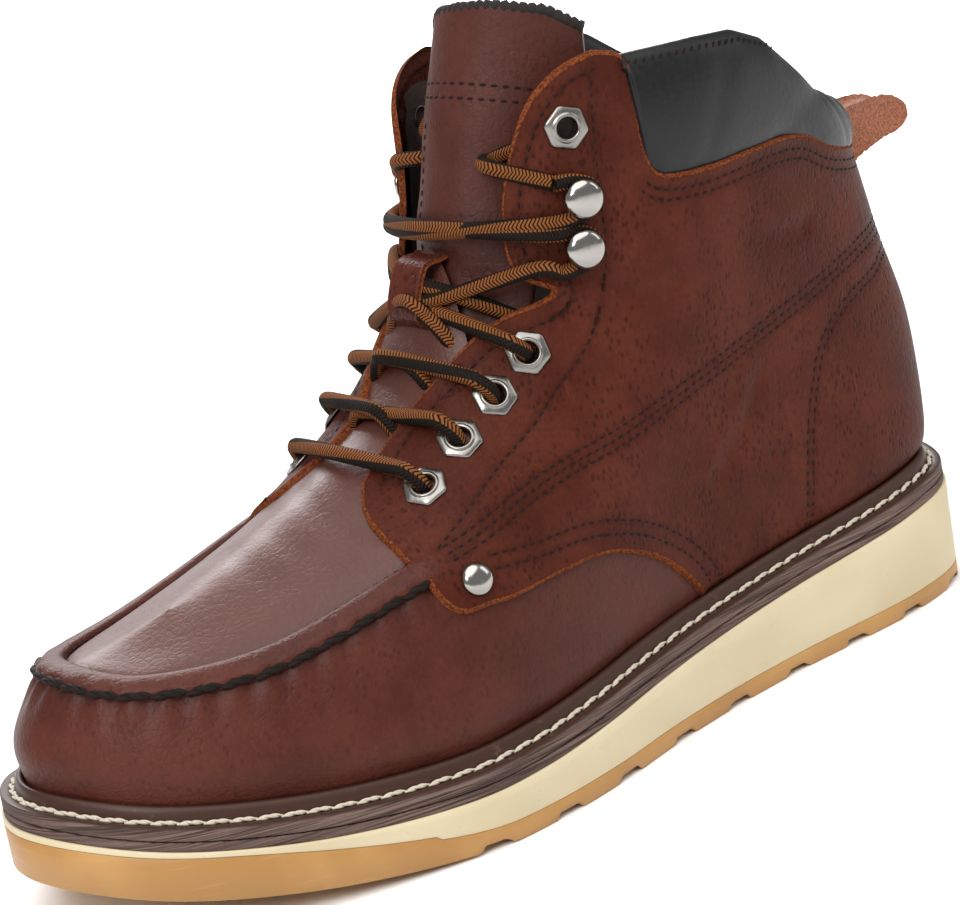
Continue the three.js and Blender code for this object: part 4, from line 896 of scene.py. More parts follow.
def build_sole():
    def bottom(x):
        return sole_bottom(x) + notch(x)
    add_joined("gum_outsole", [
        band([(2.5, bottom), (0.35, bottom), (0.0, lambda x: bottom(x) + 0.35),
              (0.0, lambda x: mix(bottom(x), gum_top(x), 0.5)), (0.0, lambda x: gum_top(x) - 0.25),
              (0.25, lambda x: gum_top(x)), (2.5, gum_top)]),
        lid(bottom, 2.5, rows=260, flip=True)], GUM_RUBBER, ["outsole"])
    wedge = band([(1.5, lambda x: gum_top(x) - 0.1), (0.05, lambda x: gum_top(x) + 0.1),
                  (0.0, lambda x: gum_top(x) + 0.3), (0.0, lambda x: mix(gum_top(x), wedge_top(x), 0.35)),
                  (0.0, lambda x: mix(gum_top(x), wedge_top(x), 0.7)), (0.0, lambda x: wedge_top(x) - 0.3),
                  (0.3, wedge_top), (4, wedge_top)])
    add_mesh("cream_wedge", wedge[0], wedge[1], CREAM, ["wedge_midsole"])
    board = band([(3, wedge_top), (0.9, wedge_top), (0.55, lambda x: wedge_top(x) + 0.3),
                  (0.5, lambda x: wedge_top(x) + 1.2), (0.55, lambda x: seat(x) - 0.25),
                  (0.8, seat), (4, seat)])
    add_mesh("edge_midsole", board[0], board[1], STACK, ["leather_midsole"],
             masks={"edge": np.ones(len(board[0]))})


WELT_SECTION = [
    (1.1, 0), (0.72, 0.15), (0.62, 0.7), (0.62, 1.6), (0.62, 2.4), (0.68, 3.0), (0.9, 3.35), (1.3, 3.5),
    (2.4, 3.6), (3.3, 3.6), (3.75, 3.15), (4.1, 3.15), (4.45, 3.9), (4.6, 4.9), (4.95, 6.3), (5.45, 7.3),
    (6.0, 7.75), (6.6, 7.75), (7.05, 7.3), (7.3, 6.4), (7.5, 4)]
WELT_SEAM = (3.9, 4.1)


def build_welt():
    points, faces = band([(inset, lambda x, up=up: seat(x) + 0.3 + up) for inset, up in WELT_SECTION])
    edge = np.repeat([1.0 if up < 3.2 and inset < 1 else 0.0 for inset, up in WELT_SECTION], len(RING_U))
    add_mesh("welt_and_rib", points, faces, WELT, ["storm_welt"], masks={"edge": edge})
    inset, up = WELT_SEAM
    ring = edge_ring(inset)
    closed = np.concatenate([ring, ring[:1]])
    line = spaced(np.concatenate([closed, (seat(closed[:, 0]) + 0.3 + up)[:, None]], 1), 1.0)
    out = np.tile([0.0, 0.0, 1.0], (len(line), 1))
    points, faces = rope_stitches(line, out, *WELT_STITCH)
    add_mesh("welt_stitches", points, faces, CREAM_THREAD)


def build_insole():
    low = lid(lambda x: seat(x) + 0.5, WELT_REACH + 3.2, flip=True)
    high = lid(lambda x: seat(x) + 3.2, WELT_REACH + 3.2)
    side = band([(WELT_REACH + 3.2, lambda x: seat(x) + 0.5), (WELT_REACH + 3.2, lambda x: seat(x) + 3.2)])
    add_joined("insole_board", [low, high, side], INSOLE, ["insole"])


# Upper

def rail_level(u, side, distance):
    """The level at a distance above the moccasin seam, over the top of the toe."""
    fine = np.linspace(SEAM, TOP_LEVEL, 40)
    rail = last_point(np.repeat(u, 40), np.repeat(side, 40), np.tile(fine, len(u))).reshape(len(u), 40, 3)
    steps = np.linalg.norm(np.diff(rail, axis=1), axis=2)
    along = np.concatenate([np.zeros((len(u), 1)), np.cumsum(steps, 1)], 1)
    distance = np.broadcast_to(distance, len(u))
    return np.array([np.interp(d, row, fine) for d, row in zip(distance, along)])


def toe_columns(start, step):
    """Stations and sides round the toe, from start on the outer side to start on the inner side."""
    fine = np.linspace(start, 22 - start, 1200)
    u, side = np.where(fine <= 11, fine, 22 - fine), np.where(fine <= 11, 1, -1)
    signed = spaced(last_point(u, side, 2.6), step, fine[:, None])[:, 0]
    return np.where(signed <= 11, signed, 22 - signed), np.where(signed <= 11, 1, -1)


def seam_length(u, side):
    """How far along the moccasin seam each column stands."""
    return lengths(last_point(u, side, SEAM))


def build_toe():
    u, side = toe_columns(3.6, 1.0)
    levels = np.concatenate([np.linspace(0.6, 2, 16)[:-1], np.linspace(2, 3.03, 30)])
    count = len(levels)
    uu, vv, ss = np.repeat(u, count), np.tile(levels, len(u)), np.repeat(side, count)
    wave = np.repeat(np.cos(2 * np.pi * seam_length(u, side) / HEAVY_PITCH), count)
    below = np.linalg.norm(last_point(uu, ss, vv) - last_point(uu, ss, SEAM), axis=1)
    under_rim = np.repeat(smooth_step(7.3, 7.8, u), count)
    pucker = under_rim * PUCKER * (wave * np.exp(-(below / 7.0) ** 2) - 0.9 * np.exp(-(below / 2.4) ** 2))
    swell = 0.5 * rng.normal(0, 1, len(u))
    swell = np.repeat(np.convolve(swell, np.hanning(15) / 8, "same"), count)
    swell = swell * np.exp(-((below - 9) / 8) ** 2) * 0.5
    points = lifted(uu, ss, vv, pucker + swell)
    # Painted shade along the moccasin seam under the rim and in the pucker troughs
    seam_shade = 0.8 * np.exp(-(below / 2.2) ** 2) + 0.25 * np.clip(-wave, 0, 1) * np.exp(-(below / 6) ** 2)
    seam_shade = seam_shade * under_rim
    add_mesh("vamp_wall", points, grid_faces(len(u), count), TOE, ["upper"], {"seam_shade": seam_shade})

    u, side = toe_columns(6.3, 1.6)
    low = rail_level(u, side, 3.0)
    shares = np.linspace(0, 1, 46)
    vv = (low[:, None] + (5 - low[:, None]) * shares).ravel()
    uu, ss = np.repeat(u, 46), np.repeat(side, 46)
    flat = last_point(uu, ss, np.where(np.tile(shares, len(u)) == 1, 5, vv))
    sink = np.zeros(len(flat))
    for picks, depth, width in PLUG_CREASES:
        line = spaced(smooth_curve(picks, 8), 1.0)
        away = nearest(flat * [1, 1, 0], np.concatenate([line, np.zeros((len(line), 1))], 1))
        sink += depth * (np.exp(-(away / width) ** 2) - 0.35 * np.exp(-((away - 2 * width) / width) ** 2))
    level = rail_level(u, side, RIM_WIDTH)
    edge = last_point(u, side, level)
    ditch = 0.5 * np.exp(-(nearest(flat, edge) / 1.6) ** 2)
    points = lifted(uu, ss, np.where(np.tile(shares, len(u)) == 1, 5, vv), -sink - ditch)
    # Painted shade in the ditch along the rim and in the plug's creases
    add_mesh("moc_plug", points, grid_faces(len(u), 46), PLUG, masks={"seam_shade": ditch + sink * 0.3})

    u, side = toe_columns(7.35, 0.9)
    wave = np.cos(2 * np.pi * (seam_length(u, side) + 0.5) / HEAVY_PITCH)
    angle = np.linspace(-0.35, np.pi + 0.2, 19)
    rows, masks = [], []
    grow = smooth_step(7.35, 7.8, u)
    for a in angle:
        across = RIM_WIDTH / 2 - (RIM_WIDTH / 2) * np.cos(a)
        level = rail_level(u, side, max(across, 0))
        outer = np.clip(np.cos(a), 0, 1)
        full = RIM_RISE * np.abs(np.sin(a)) ** 0.75 * np.sign(np.sin(a)) + 0.3 * wave * outer
        rows.append(lifted(u, side, level, (0.2 + full) * grow - 0.2))
        # Painted shade at the rim's two feet, where it meets the vamp and the plug
        masks.append(np.full(len(u), 0.9 if a < 0.35 or a > np.pi - 0.2 else 0.0))
    add_mesh("moc_rim", np.concatenate(rows), grid_faces(len(angle), len(u), flip=True), TOE,
             masks={"seam_shade": np.concatenate(masks)})

    parts = []
    for distance, lift in ((0.2, 0.85), (RIM_WIDTH + 0.3, 0.1)):
        level = rail_level(u, side, distance)
        line, out = lifted(u, side, level, lift * grow - 1.2 * (1 - grow)), last_normal(u, side, level)
        parts.append(rope_stitches(line, out, *RIM_STITCH) if lift > 0.5
                     else stitches(line, out, *PLUG_STITCH))
    add_joined("rim_stitches", parts[:1], HEAVY_THREAD)
    add_joined("plug_stitches", parts[1:], THREAD)


def quarter_outline():
    rows = []
    for side in (1, -1):
        raw = surface_line(QUARTER_EDGE, side, (0, 2), 1.5)
        throat = surface_line(both_sides(THROAT_EDGE)[side], side, (0, 1, 2), 1.5)
        top = surface_line(TOP_EDGE, side, (0, 2), 1.5)
        foot_u = np.linspace(raw[-1, 0], 0.02, 100)
        foot = np.stack([foot_u, np.full(100, 0.66)], 1)
        line = np.concatenate([foot[::-1], raw[::-1][1:], throat[1:], top[1:]])
        if side < 0:
            line = line * [-1, 1]
        rows.append(line)
    return np.concatenate([rows[0], rows[1][::-1]])


def quarter_lift(v):
    """How far the quarters stand off the last; less at the welt, which hides their foot."""
    return QUARTER_STEP * smooth_step(1, 1.5, v)


def build_quarters():
    outline = quarter_outline()
    inner = lattice(-7.7, 7.7, 1.5)
    inner = inner[inside(inner, outline)]
    edge_points = last_point(*place(outline))
    inner = inner[nearest(last_point(*place(inner)), edge_points) > 0.9]
    holes = [last_point(u, side, v) for side in (1, -1) for u, v in
             [locate([at], side, (0, 2))[0] for at in EYELETS]]
    for middle in holes:
        inner = inner[np.linalg.norm(last_point(*place(inner)) - middle, axis=1) > 3.4]
    flat, faces = triangles_within(outline, inner)
    u, side, v = place(flat)
    points = last_point(u, side, v)
    normal = last_normal(u, side, v)
    away = nearest(points, edge_points)
    lift = quarter_lift(v) + 0.35 * np.clip(1 - away / 2.5, 0, 1) ** 2
    rows = []
    for one in (1, -1):
        for picks, shifts in ((EYESTAY_ROW, (0,)), (BAND, (-2.6, -0.4, 1.8)), (LOWER_ROW, (0, -3.6)),
                              (COUNTER_ROW, (-1.1, 1.1))):
            for shift in shifts:
                line = surface_line(picks, one)
                rows.append((one, shifted(line, one, shift) if shift else line))
        throat = surface_line(both_sides(THROAT_EDGE[:10])[one], one, (0, 1, 2))
        rows.append((one, shifted(throat, one, -4.2)))
        ear = surface_line(both_sides(THROAT_EDGE[10:])[one], one, (0, 1, 2))
        rows.append((one, shifted(ear, one, -3.4)))
        collar = surface_line(TOP_EDGE[3:], one)
        rows += [(one, shifted(collar, one, -3.0)), (one, shifted(collar, one, -5.6))]
    row_points = [line_points(line, one) for one, line in rows]
    sink = folds(points, row_points, ROW_SINK, 0.9)
    creases = [line_points(surface_line(picks, one), one) for one in (1, -1) for picks in QUARTER_CREASES]
    points = points - normal * folds(points, creases, CREASE_DEPTH, 3.4)[:, None]
    points = points + normal * folds(points, [line + [2.5, 0, 4.5] for line in creases], 0.5, 3.6)[:, None]
    points = points + normal * (lift - sink)[:, None]
    # Painted shade in the troughs along the stitch rows
    masks = {"seam_shade": sink / ROW_SINK}
    hole = np.zeros(len(faces), bool)
    for middle in holes:
        hole |= np.linalg.norm(points[faces].mean(1) - middle, axis=1) < 3.2
    points, faces, masks = edged(points, faces, normal, hole, masks)
    add_mesh("quarters", points, faces, LEATHER, masks=masks)
    parts = []
    for one, line in rows:
        u_line, v_line = line[:, 0], line[:, 1]
        out = last_normal(u_line, one, v_line)
        on = last_point(u_line, one, v_line) + out * (quarter_lift(v_line) - 0.25)[:, None]
        parts.append(stitches(on, out, *QUARTER_STITCH))
    add_joined("quarter_stitches", parts, THREAD)


def build_lining():
    u = np.linspace(-8, 8, 200)
    side = np.where(u >= 0, 1, -1)
    levels = np.linspace(0.3, 4.8, 60)
    uu, ss, vv = np.repeat(np.abs(u), 60), np.repeat(side, 60), np.tile(levels, 200)
    points = last_point(uu, ss, vv) - last_normal(uu, ss, vv) * WALL * 0.8
    faces = grid_faces(200, 60, flip=True)
    outline = quarter_outline()
    low_flat = np.stack([uu * ss, vv], 1)
    keep = inside(low_flat, outline) | (vv < 3)
    faces = faces[keep[faces].all(1)]
    add_mesh("lining", points, faces, LINING)


# Heel strip, loop and collar

def level_at(u, side, height_of):
    low = np.full(len(u), SEAM)
    high = np.full(len(u), TOP_LEVEL)
    for _ in range(22):
        middle = (low + high) / 2
        points = last_point(u, side, middle)
        under = points[:, 2] < height_of(points[:, 0])
        low, high = np.where(under, middle, low), np.where(under, high, middle)
    return (low + high) / 2


def build_backstay():
    across = np.linspace(-1, 1, 17)
    levels = np.linspace(1.02, 4.35, 90)
    rows = []
    for v in levels:
        fine = np.linspace(0, 1.6, 60)
        for share in across:
            side = 1 if share >= 0 else -1
            rail = last_point(fine, side, np.full(60, v))
            along = lengths(rail)
            u = np.interp(abs(share) * 7.2, along, fine)
            rows.append((u, side, v, 1.6 + 1.2 * (1 - abs(share) ** 6)))
    u, side, v, lift = np.array(rows).T
    side = side.astype(int)
    points = lifted(u, side, v, lift - 0.3)
    faces = grid_faces(len(levels), 17)
    raw = np.tile(np.where(np.abs(across) > 0.93, 1.0, 0.0), len(levels))
    add_mesh("heel_strip", points, faces, LEATHER, ["backstay"], {"raw": raw})


LOOP_TOP = [(12.9, 135.7), (7, 136.6), (1, 137), (-4, 136.9), (-9.1, 135.5)]
LOOP_UNDER = [(-12.3, 132.6), (-9, 130.6), (-5, 130.2), (-0.5, 129.2), (5, 127.6), (9.6, 125.7),
              (13.2, 122.6)]


def build_loop():
    """A folded tab of suede with rounded edges, thicker where it meets the heel."""
    line = spaced(smooth_curve(LOOP_TOP + LOOP_UNDER + LOOP_TOP[:1], 8), 0.9)[:-1]
    way = unit(np.roll(line, -1, 0) - np.roll(line, 1, 0))
    inward = np.stack([-way[:, 1], way[:, 0]], 1) * LOOP_TURN
    rows = []
    for share in np.linspace(-1, 1, 19):
        inset = LOOP_INSET + 1.6 * (1 - math.sqrt(max(0, 1 - abs(share) ** 5)))
        fuzz = rng.normal(0, 0.12, len(line))
        flat = line + inward * (inset + fuzz)[:, None]
        rows.append(np.stack([flat[:, 0], np.full(len(line), share * LOOP_HALF), flat[:, 1]], 1))
    count = len(line)
    points = np.concatenate(rows)
    faces = grid_faces(len(rows), count, wrap_columns=True).tolist()
    for start, turned in ((0, False), (len(points) - count, True)):
        face = list(range(start, start + count))
        faces.append(face[::-1] if turned else face)
    add_mesh("pull_loop_tab", points, faces, SUEDE, ["pull_loop"])


COLLAR_TOP = [(0.05, 0.93), (0.1, 0.945), (0.143, 0.985), (0.17, 1.03), (0.216, 1.101), (0.254, 1.13),
              (0.3, 1.137), (0.4, 1.142)]
PAD_SECTION = [
    (-0.02, -2.2), (0.04, -0.4), (0.14, 1.2), (0.3, 2.5), (0.48, 3.1), (0.66, 2.8), (0.82, 1.8), (0.94, 0.2),
    (1.0, -1.8), (0.99, -3.8), (0.9, -5.6), (0.7, -6.8), (0.4, -7.0), (0.1, -6), (-0.08, -4.2)]
# Folds of the pad: station, lean, depth and width
PAD_FOLDS = [(1.05, 0.2, 0.5, 0.05), (1.35, 0.35, 0.45, 0.06), (1.7, 0.5, 0.3, 0.06), (2.3, -0.6, 0.35, 0.12),
             (3.2, -0.5, 0.3, 0.12)]


def build_pad():
    signed = np.linspace(-4.1, 4.1, 230)
    side = np.where(signed >= 0, 1, -1)
    u = np.abs(signed)
    top_edge = np.array(TOP_EDGE)[::-1]
    low = level_at(u, side, lambda x: np.interp(x, top_edge[:, 0], top_edge[:, 1]) - 2.5)
    collar = np.array(COLLAR_TOP)
    high = level_at(u, side, lambda x: np.interp(x / LENGTH, collar[:, 0], collar[:, 1]) * UPPER_HEIGHT)
    section = smooth_curve(PAD_SECTION, 4)
    rows = []
    for up, off in section:
        wrinkle = np.zeros(len(u))
        for at, lean, depth, width in PAD_FOLDS:
            wrinkle += depth * np.exp(-((u - at - lean * (up - 0.5)) / width) ** 2) * (side > 0)
            wrinkle += depth * 0.8 * np.exp(-((u - at * 1.07 + lean * (up - 0.5)) / width) ** 2) * (side < 0)
        rows.append(lifted(u, side, mix(low, high, up), off - wrinkle * smooth_step(-6, 0, off)))
    crest = lifted(u, side, mix(low, high, 0.93), np.full(len(u), 0.45))
    out = last_normal(u, side, mix(low, high, 0.93))
    keep = np.abs(signed) > 2.5
    parts = [stitches(crest[keep & (side == one)], out[keep & (side == one)], *PAD_STITCH, slant=1.4)
             for one in (1, -1)]
    add_joined("pad_stitches", parts, THREAD)
    faces = grid_faces(len(rows), len(u), wrap_rows=True, flip=True)
    pad = add_mesh("padded_collar", np.concatenate(rows), faces, PAD, ["collar_pad"])


# Tongue

TONGUE_UNDER = [(8.15, 1.1, -3.9), (7.8, 1.15, -3.9), (7.4, 1.2, -3.9), (7, 1.2, -3.9), (6.6, 1.15, -3.4),
                (6.3, 1, -2)]
TONGUE_FREE = [(0.511, 0.9, 0.205, 0.95, 0), (0.5, 0.97, 0.208, 1.02, 0), (0.484, 1.075, 0.22, 1.05, 0),
               (0.465, 1.175, 0.232, 1.0, 0.35), (0.4525, 1.248, 0.235, 0.88, 1)]
TONGUE_CREST = ((-1, -0.75, -0.5, -0.3, 0, 0.5, 0.85, 1), (-18, -12, -4.5, -1, 0, 1.5, 1.5, -2))
TONGUE_ACROSS = 61
TONGUE_THICK = 3.0
TONGUE_ROWS = [(21, 4, 57), (24, 4, 57)]
TONGUE_SEAM = slice(-150, -28)
TONGUE_SEAM_COLUMN = 22


def tongue_rows(depth):
    shares = np.linspace(-1, 1, TONGUE_ACROSS)
    side = np.where(shares < 0, -1, 1)
    rows = []
    for station, span, lift in TONGUE_UNDER:
        away = mix(lift, -WALL - 2.3, np.minimum(1, shares ** 2 * 2)) - depth * 0.7
        rows.append(lifted(station - 0.75 * shares ** 2, side, 5 - np.abs(shares) * span, away))
    before = rows[-1][TONGUE_ACROSS // 2]
    for along, up, half, drop, sag in TONGUE_FREE:
        middle = np.array([along * LENGTH, 0, up * UPPER_HEIGHT])
        onwards = unit(middle - before)
        out = np.array([onwards[2], 0, -onwards[0]])
        half = half * BALL_WIDTH
        wrap = drop * half * shares ** 2 * (0.6 + 0.4 * shares ** 2)
        thin = depth * (1 - 0.35 * shares ** 2)
        row = middle - out * (wrap + thin)[:, None]
        row[:, 1] = shares * (half - thin * 0.8)
        row[:, 2] += sag * np.interp(shares, TONGUE_CREST[0], TONGUE_CREST[1])
        rows.append(row)
        before = middle
    rows = np.array(rows)
    return np.stack([smooth_curve(rows[:, column], 14) for column in range(TONGUE_ACROSS)], 1)


def build_tongue():
    outer, inner = tongue_rows(0), tongue_rows(TONGUE_THICK)
    rows = len(outer)
    both = np.concatenate([outer, inner[:, ::-1]], 1)
    points = both.reshape(-1, 3)
    faces = grid_faces(rows, both.shape[1], wrap_columns=True, flip=True).tolist()
    for row, turned in ((0, False), (rows - 1, True)):
        start = row * both.shape[1]
        for column in range(TONGUE_ACROSS - 1):
            face = [start + column, start + column + 1, start + both.shape[1] - 2 - column,
                    start + both.shape[1] - 1 - column]
            faces.append(face[::-1] if turned else face)
    add_mesh("tongue_leather", points, faces, TONGUE, ["tongue"])
    middle = (outer[-1] + inner[-1]) / 2
    binding = spaced(middle, 0.7)
    wave = 0.22 * np.sin(np.arange(len(binding)) * 1.9)
    binding = binding + np.array([0, 0, 1]) * wave[:, None]
    points, faces = tube(binding, TONGUE_THICK / 2 + 0.1 + wave, 12, (1, 0, 0))
    add_mesh("tongue_binding", points, faces, BINDING)
    parts = []
    normals = grid_normals(outer)
    for row, low, high in TONGUE_ROWS:
        line, out = outer[-row, low:high], normals[-row, low:high]
        parts.append(stitches(spaced(line, 1.0), spaced(line, 1.0, out), *TONGUE_STITCH))
    column, out = outer[TONGUE_SEAM, TONGUE_SEAM_COLUMN], normals[TONGUE_SEAM, TONGUE_SEAM_COLUMN]
    parts.append(stitches(spaced(column, 1.0), spaced(column, 1.0, out), *TONGUE_STITCH))
    add_joined("tongue_stitches", parts, THREAD)


def grid_normals(rows):
    return unit(np.cross(np.gradient(rows, axis=1), np.gradient(rows, axis=0)))


KEEPER = [(-0.5, 0.06), (-0.46, 0.2), (-0.38, 0.7), (-0.28, 0.95), (0, 1.02), (0.28, 0.95), (0.38, 0.7),
          (0.46, 0.2), (0.5, 0.06)]


def keeper_frame():
    low = lifted(np.array([6.6]), 1, np.array([TOP_LEVEL]), np.array([-3.4]))[0] * [1, 0, 1]
    high = lifted(np.array([6.3]), 1, np.array([TOP_LEVEL]), np.array([-2.0]))[0] * [1, 0, 1]
    up = unit(high - low)
    return low + (high - low) * 0.34, up, np.array([up[2], 0, -up[0]])


def build_keeper():
    base, up, out = keeper_frame()
    line = smooth_curve(KEEPER, 6) * [22, 7.4]
    way = unit(np.gradient(line, axis=0))
    inner = line + np.stack([way[:, 1], -way[:, 0]], 1) * 1.3
    across = np.linspace(-6.5, 6.5, 14)
    rows = [base + up * a + out * (0.8 + b) + np.array([0, 1, 0]) * across[:, None]
            for a, b in np.concatenate([line, inner[::-1]])]
    points = np.concatenate(rows)
    count = len(rows)
    faces = grid_faces(count, 14, wrap_rows=True).tolist()
    for r in range(len(line) - 1):
        for edge in (0, 13):
            faces.append([row * 14 + edge for row in (r, r + 1, count - 2 - r, count - 1 - r)])
    raw = np.tile(np.where(np.abs(across) > 6.2, 1.0, 0.0), count)
    add_mesh("keeper_strap", points, faces, LEATHER, ["lace_keeper"], {"raw": raw})


# Metal

def stand(at, side, lift):
    u, v = locate([at], side, (0, 2))[0]
    normal = last_normal(u, side, v)
    right = unit(np.cross([0, 0, 1], normal))
    return last_point(u, side, v) + normal * lift, right, np.cross(normal, right), normal


def turned(profile, corners, at, side, lift, across=None):
    """A profile of radius and height turned about the normal; across is not used."""
    point, right, up, normal = stand(at, side, lift)
    angle = np.linspace(0, 2 * np.pi, corners, endpoint=False)
    rows = []
    for radius, height, polygon in profile:
        reach = radius
        if polygon:
            reach = radius * np.cos(np.pi / 6) / np.cos((angle + polygon) % (np.pi / 3) - np.pi / 6)
            reach = np.minimum(reach, radius * 0.97)
        rows.append(point + (np.cos(angle) * reach)[:, None] * right + (np.sin(angle) * reach)[:, None] * up
                    + height * normal)
    return np.concatenate(rows), grid_faces(len(rows), corners, wrap_columns=True).tolist()


def build_metal():
    plate = [(3.4, -3.5, 0), (2.9, -3.6, 0), (2.7, -1, 0), (2.75, 0.9, 0), (3.0, 1.35, 0), (3.4, 1.5, 0),
             (3.7, 1.35, 0), (3.95, 1.0, 0), (4.15, 0.95, 0), (5.75, 0.75, 0.3), (6.2, 0.35, 0.3),
             (6.2, 0, 0.3), (3.6, 0, 0)]
    dome = [(2.0, 0, 0), (1.9, 3.0, 0), (2.2, 4.6, 0), (4.8, 4.9, 0), (5.2, 5.2, 0), (5.2, 5.6, 0),
            (4.8, 6.3, 0), (4.0, 6.95, 0), (2.6, 7.4, 0), (1.2, 7.6, 0), (0.01, 7.65, 0)]
    stud = [(4.3, 0, 0), (4.25, 0.5, 0), (3.9, 1.2, 0), (3.0, 1.8, 0), (1.6, 2.15, 0), (0.01, 2.25, 0)]
    base = QUARTER_STEP
    sides = (1, -1)
    eyelets = [turned(plate, 48, at, side, base) for side in sides for at in EYELETS]
    names = [f"eyelet_{side}_{number}" for side in ("lateral", "medial") for number in range(1, 6)]
    add_joined("eyelets", eyelets, NICKEL, names)
    hooks = [turned(dome, 40, at, side, base) for side in sides for at in HOOKS]
    names = [f"hook_{side}_{number}" for side in ("lateral", "medial") for number in (1, 2)]
    add_joined("lace_hooks", hooks, CHROME, names)
    rivets = [turned(stud, 32, RIVET_AT, side, base) for side in sides]
    add_joined("rivets", rivets, CHROME, ["rivet_lateral", "rivet_medial"])


# Lace

def ridge(x, lift):
    fine = np.linspace(6, 11, 400)
    line = last_point(fine, 1, TOP_LEVEL)
    u = np.interp(x, line[:, 0], fine)
    return lifted(np.array([u]), 1, np.array([TOP_LEVEL]), np.array([float(lift)]))[0] * [1, 0, 1]


CROSSINGS = [182.5, 172.0, 164.0]
UNDER_EDGE = [(186, 12.2, 95.3), (175, 14.6, 103.8), (166, 18, 111.5)]


def into_eyelet(number, side, come_from):
    """Points over the rim and down through the hole of an eyelet."""
    point, right, up, normal = stand(EYELETS[number], side, QUARTER_STEP)
    way = come_from - point
    way = unit(way - normal * way.dot(normal))
    return [point + way * 8.5 + normal * 3.0, point + way * 4.2 + normal * 3.7,
            point + way * 1.2 + normal * 1.2, point + way * 0.2 - normal * 3.4]


def under_edge(number, side, lift=-4.2):
    picks = np.array([UNDER_EDGE[number]]) * [1, side if side > 0 else -0.92, 1]
    u, v = locate(picks, side)[0]
    return last_point(u, side, v) + last_normal(u, side, v) * lift


def hook_turn(at, side):
    point, right, up, normal = stand(at, side, QUARTER_STEP + 2.3)
    away = right * side
    reach = 4.4
    turn = [(-1.5, -1.15), (-0.2, -1.0), (0.8, -0.45), (0.8, 0.45), (-0.2, 1.0), (-1.5, 1.15)]
    return [point + away * a * reach + up * b * reach for a, b in turn]


def build_lace():
    lace = []
    for start in (1, -1):
        side = start
        points = []
        for number, x in enumerate(CROSSINGS):
            exit_point = under_edge(number, side)
            over = ridge(x, 4.4 if start > 0 else 2.0)
            target = into_eyelet(number + 1, -side, over)
            if number == 0:
                points += into_eyelet(0, side, ridge(195, 3))[::-1][:1]
            rising = [mix(exit_point, over, share) + [up * 0.25, side * up * 0.25, up] for share, up in
                      ((0.2, 2.6), (0.55, 3.4))]
            points += [exit_point, *rising, over, *target]
            side = -side
        base, up, out = keeper_frame()
        strap = [base + out * 4.2 - up * 1.5 * start + np.array([0, s * 7.5 * side, 0]) for s in (1, -1)]
        leave = stand((150, 117), side, -3.5)[0]
        points += [leave, *strap]
        side = -side
        ear = stand((145.5, 130.5), side, 3.6)[0]
        points += [ear, *hook_turn(HOOKS[0], side)]
        level = 0.8 * start
        points += [stand((147, 139.6 + level), side, 3.8)[0], np.array([158.5, 0, 142.5 + level])]
        side = -side
        points += [stand((147, 141.2 - level), side, 3.8)[0], *hook_turn(HOOKS[1], side)]
        lace.append((side, np.array(points)))
    bar = [*into_eyelet(0, 1, ridge(195, 3))[::-1], ridge(196.5, 3.4), *into_eyelet(0, -1, ridge(195, 3))]
    parts = [spaced(smooth_curve(bar, 10), 0.8)]
    for side, points in lace:
        parts.append(spaced(smooth_curve(points, 10), 0.8))
        lip = stand((146.5, 157.5), side, 2.6)[0]
        inside_lip = stand((147.5, 158.5), side, -4.5)[0]
        back = stand((140, 161), side, -5.5)[0]
        end = spaced(smooth_curve([points[-1], mix(points[-1], lip, 0.6), lip, inside_lip, back,
                                   stand((133, 163.5), side, -4.6)[0]], 10), 0.8)
        for _ in range(SOFTENING):
            end[1:-1] = (end[:-2] + 2 * end[1:-1] + end[2:]) / 4
        end = spaced(end, 0.8)
        name = "lateral" if side > 0 else "medial"
        body, faces, uv = braided(end)
        tail = add_mesh(f"lace_tail_{name}", body, faces, LACING, [f"lace_end_{name}"], uv=uv)
    bodies = [braided(part) for part in parts]
    points, faces, _ = joined([body[:2] for body in bodies])
    uv = np.concatenate([body[2] for body in bodies])
    add_mesh("lace_run", points, faces, LACING, ["laces"], uv=uv)


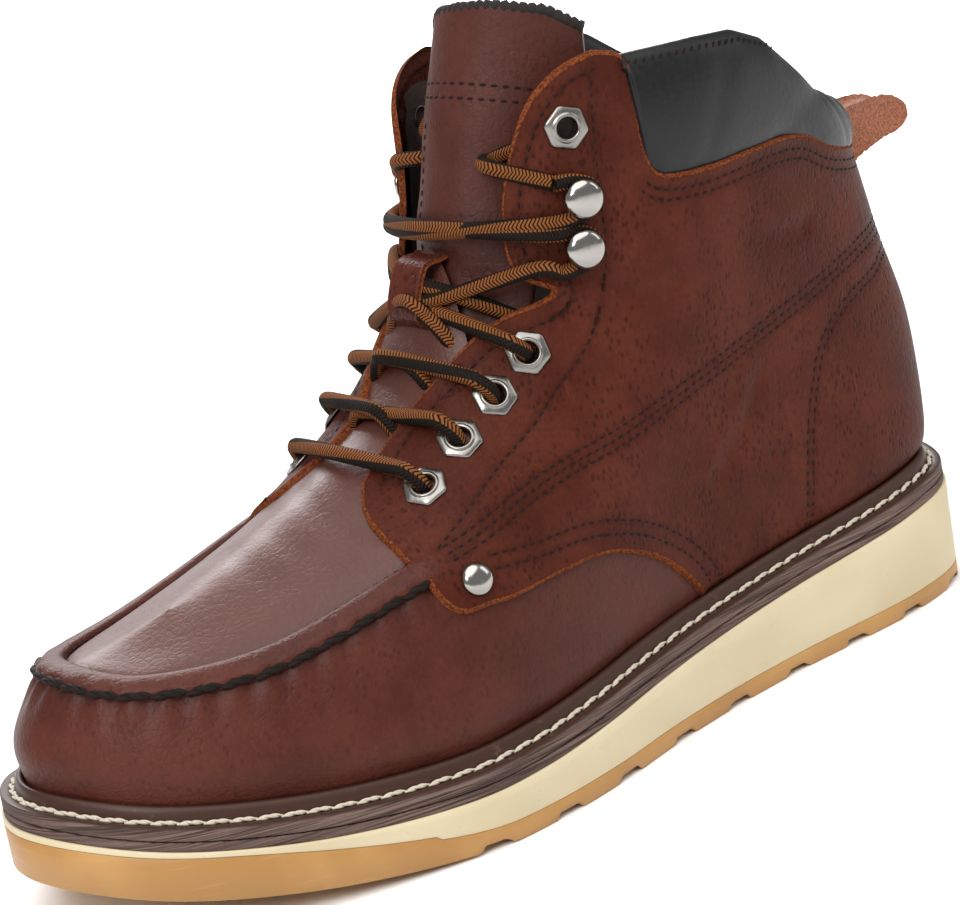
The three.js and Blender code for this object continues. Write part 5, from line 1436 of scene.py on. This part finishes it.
def braided(line):
    """A round cord along a line, with its turn and its length in millimetres as coordinates."""
    body, faces = tube(line, LACE / 2, LACE_SIDES)
    along = lengths(line)
    around = np.tile(np.arange(LACE_SIDES) / LACE_SIDES, len(line))
    return body, faces, np.stack([around, np.repeat(along, LACE_SIDES)], 1)


build_sole()
build_welt()
build_insole()
build_toe()
build_quarters()
build_lining()
build_backstay()
build_loop()
build_pad()
build_tongue()
build_keeper()
build_metal()
build_lace()

# Studio

def lamp(name, at, aim, size, power, color=(1, 1, 1)):
    data = bpy.data.lights.new(name, "AREA")
    data.shape = "RECTANGLE"
    data.size, data.size_y = size
    data.energy = power
    data.color = color
    light = bpy.data.objects.new(name, data)
    light.location = at
    direction = np.array(aim, float) - np.array(at, float)
    back = unit(-direction)
    right = unit(np.cross([0, 0, 1], back))
    up = np.cross(back, right)
    light.matrix_world = Matrix.Translation(at) @ Matrix((right, up, back)).transposed().to_4x4()
    scene.collection.objects.link(light)


floor_mesh = bpy.data.meshes.new("floor")
floor_mesh.from_pydata([(-30, -30, 0), (30, -30, 0), (30, 30, 0), (-30, 30, 0)], [], [(0, 1, 2, 3)])
floor = bpy.data.objects.new("floor", floor_mesh)
floor_mesh.materials.append(plain("floor_white", (0.93, 0.93, 0.93), 0.9, 0.0, 3, 0.99))
scene.collection.objects.link(floor)

world = bpy.data.worlds.new("world")
scene.world = world
world.use_nodes = True
world.node_tree.nodes["Background"].inputs["Color"].default_value = (1, 1, 1, 1)
world.node_tree.nodes["Background"].inputs["Strength"].default_value = 0.32
scene.view_settings.view_transform = "Standard"
sun = bpy.data.lights.new("overhead", "SUN")
sun.energy = 2.35
sun.angle = math.radians(70)
overhead = bpy.data.objects.new("overhead", sun)
overhead.rotation_euler = (math.radians(-16), math.radians(10), 0)
scene.collection.objects.link(overhead)
lamp("key", (1.3, 0.7, 1.1), (0.05, 0, 0.08), (0.7, 0.7), 12)
lamp("rim", (-1.2, 0.9, 0.9), (-0.1, 0, 0.1), (0.5, 0.9), 3)
lamp("back", (-0.7, -1.7, 1.15), (0.1, 0, 0.08), (1.6, 0.9), 38)
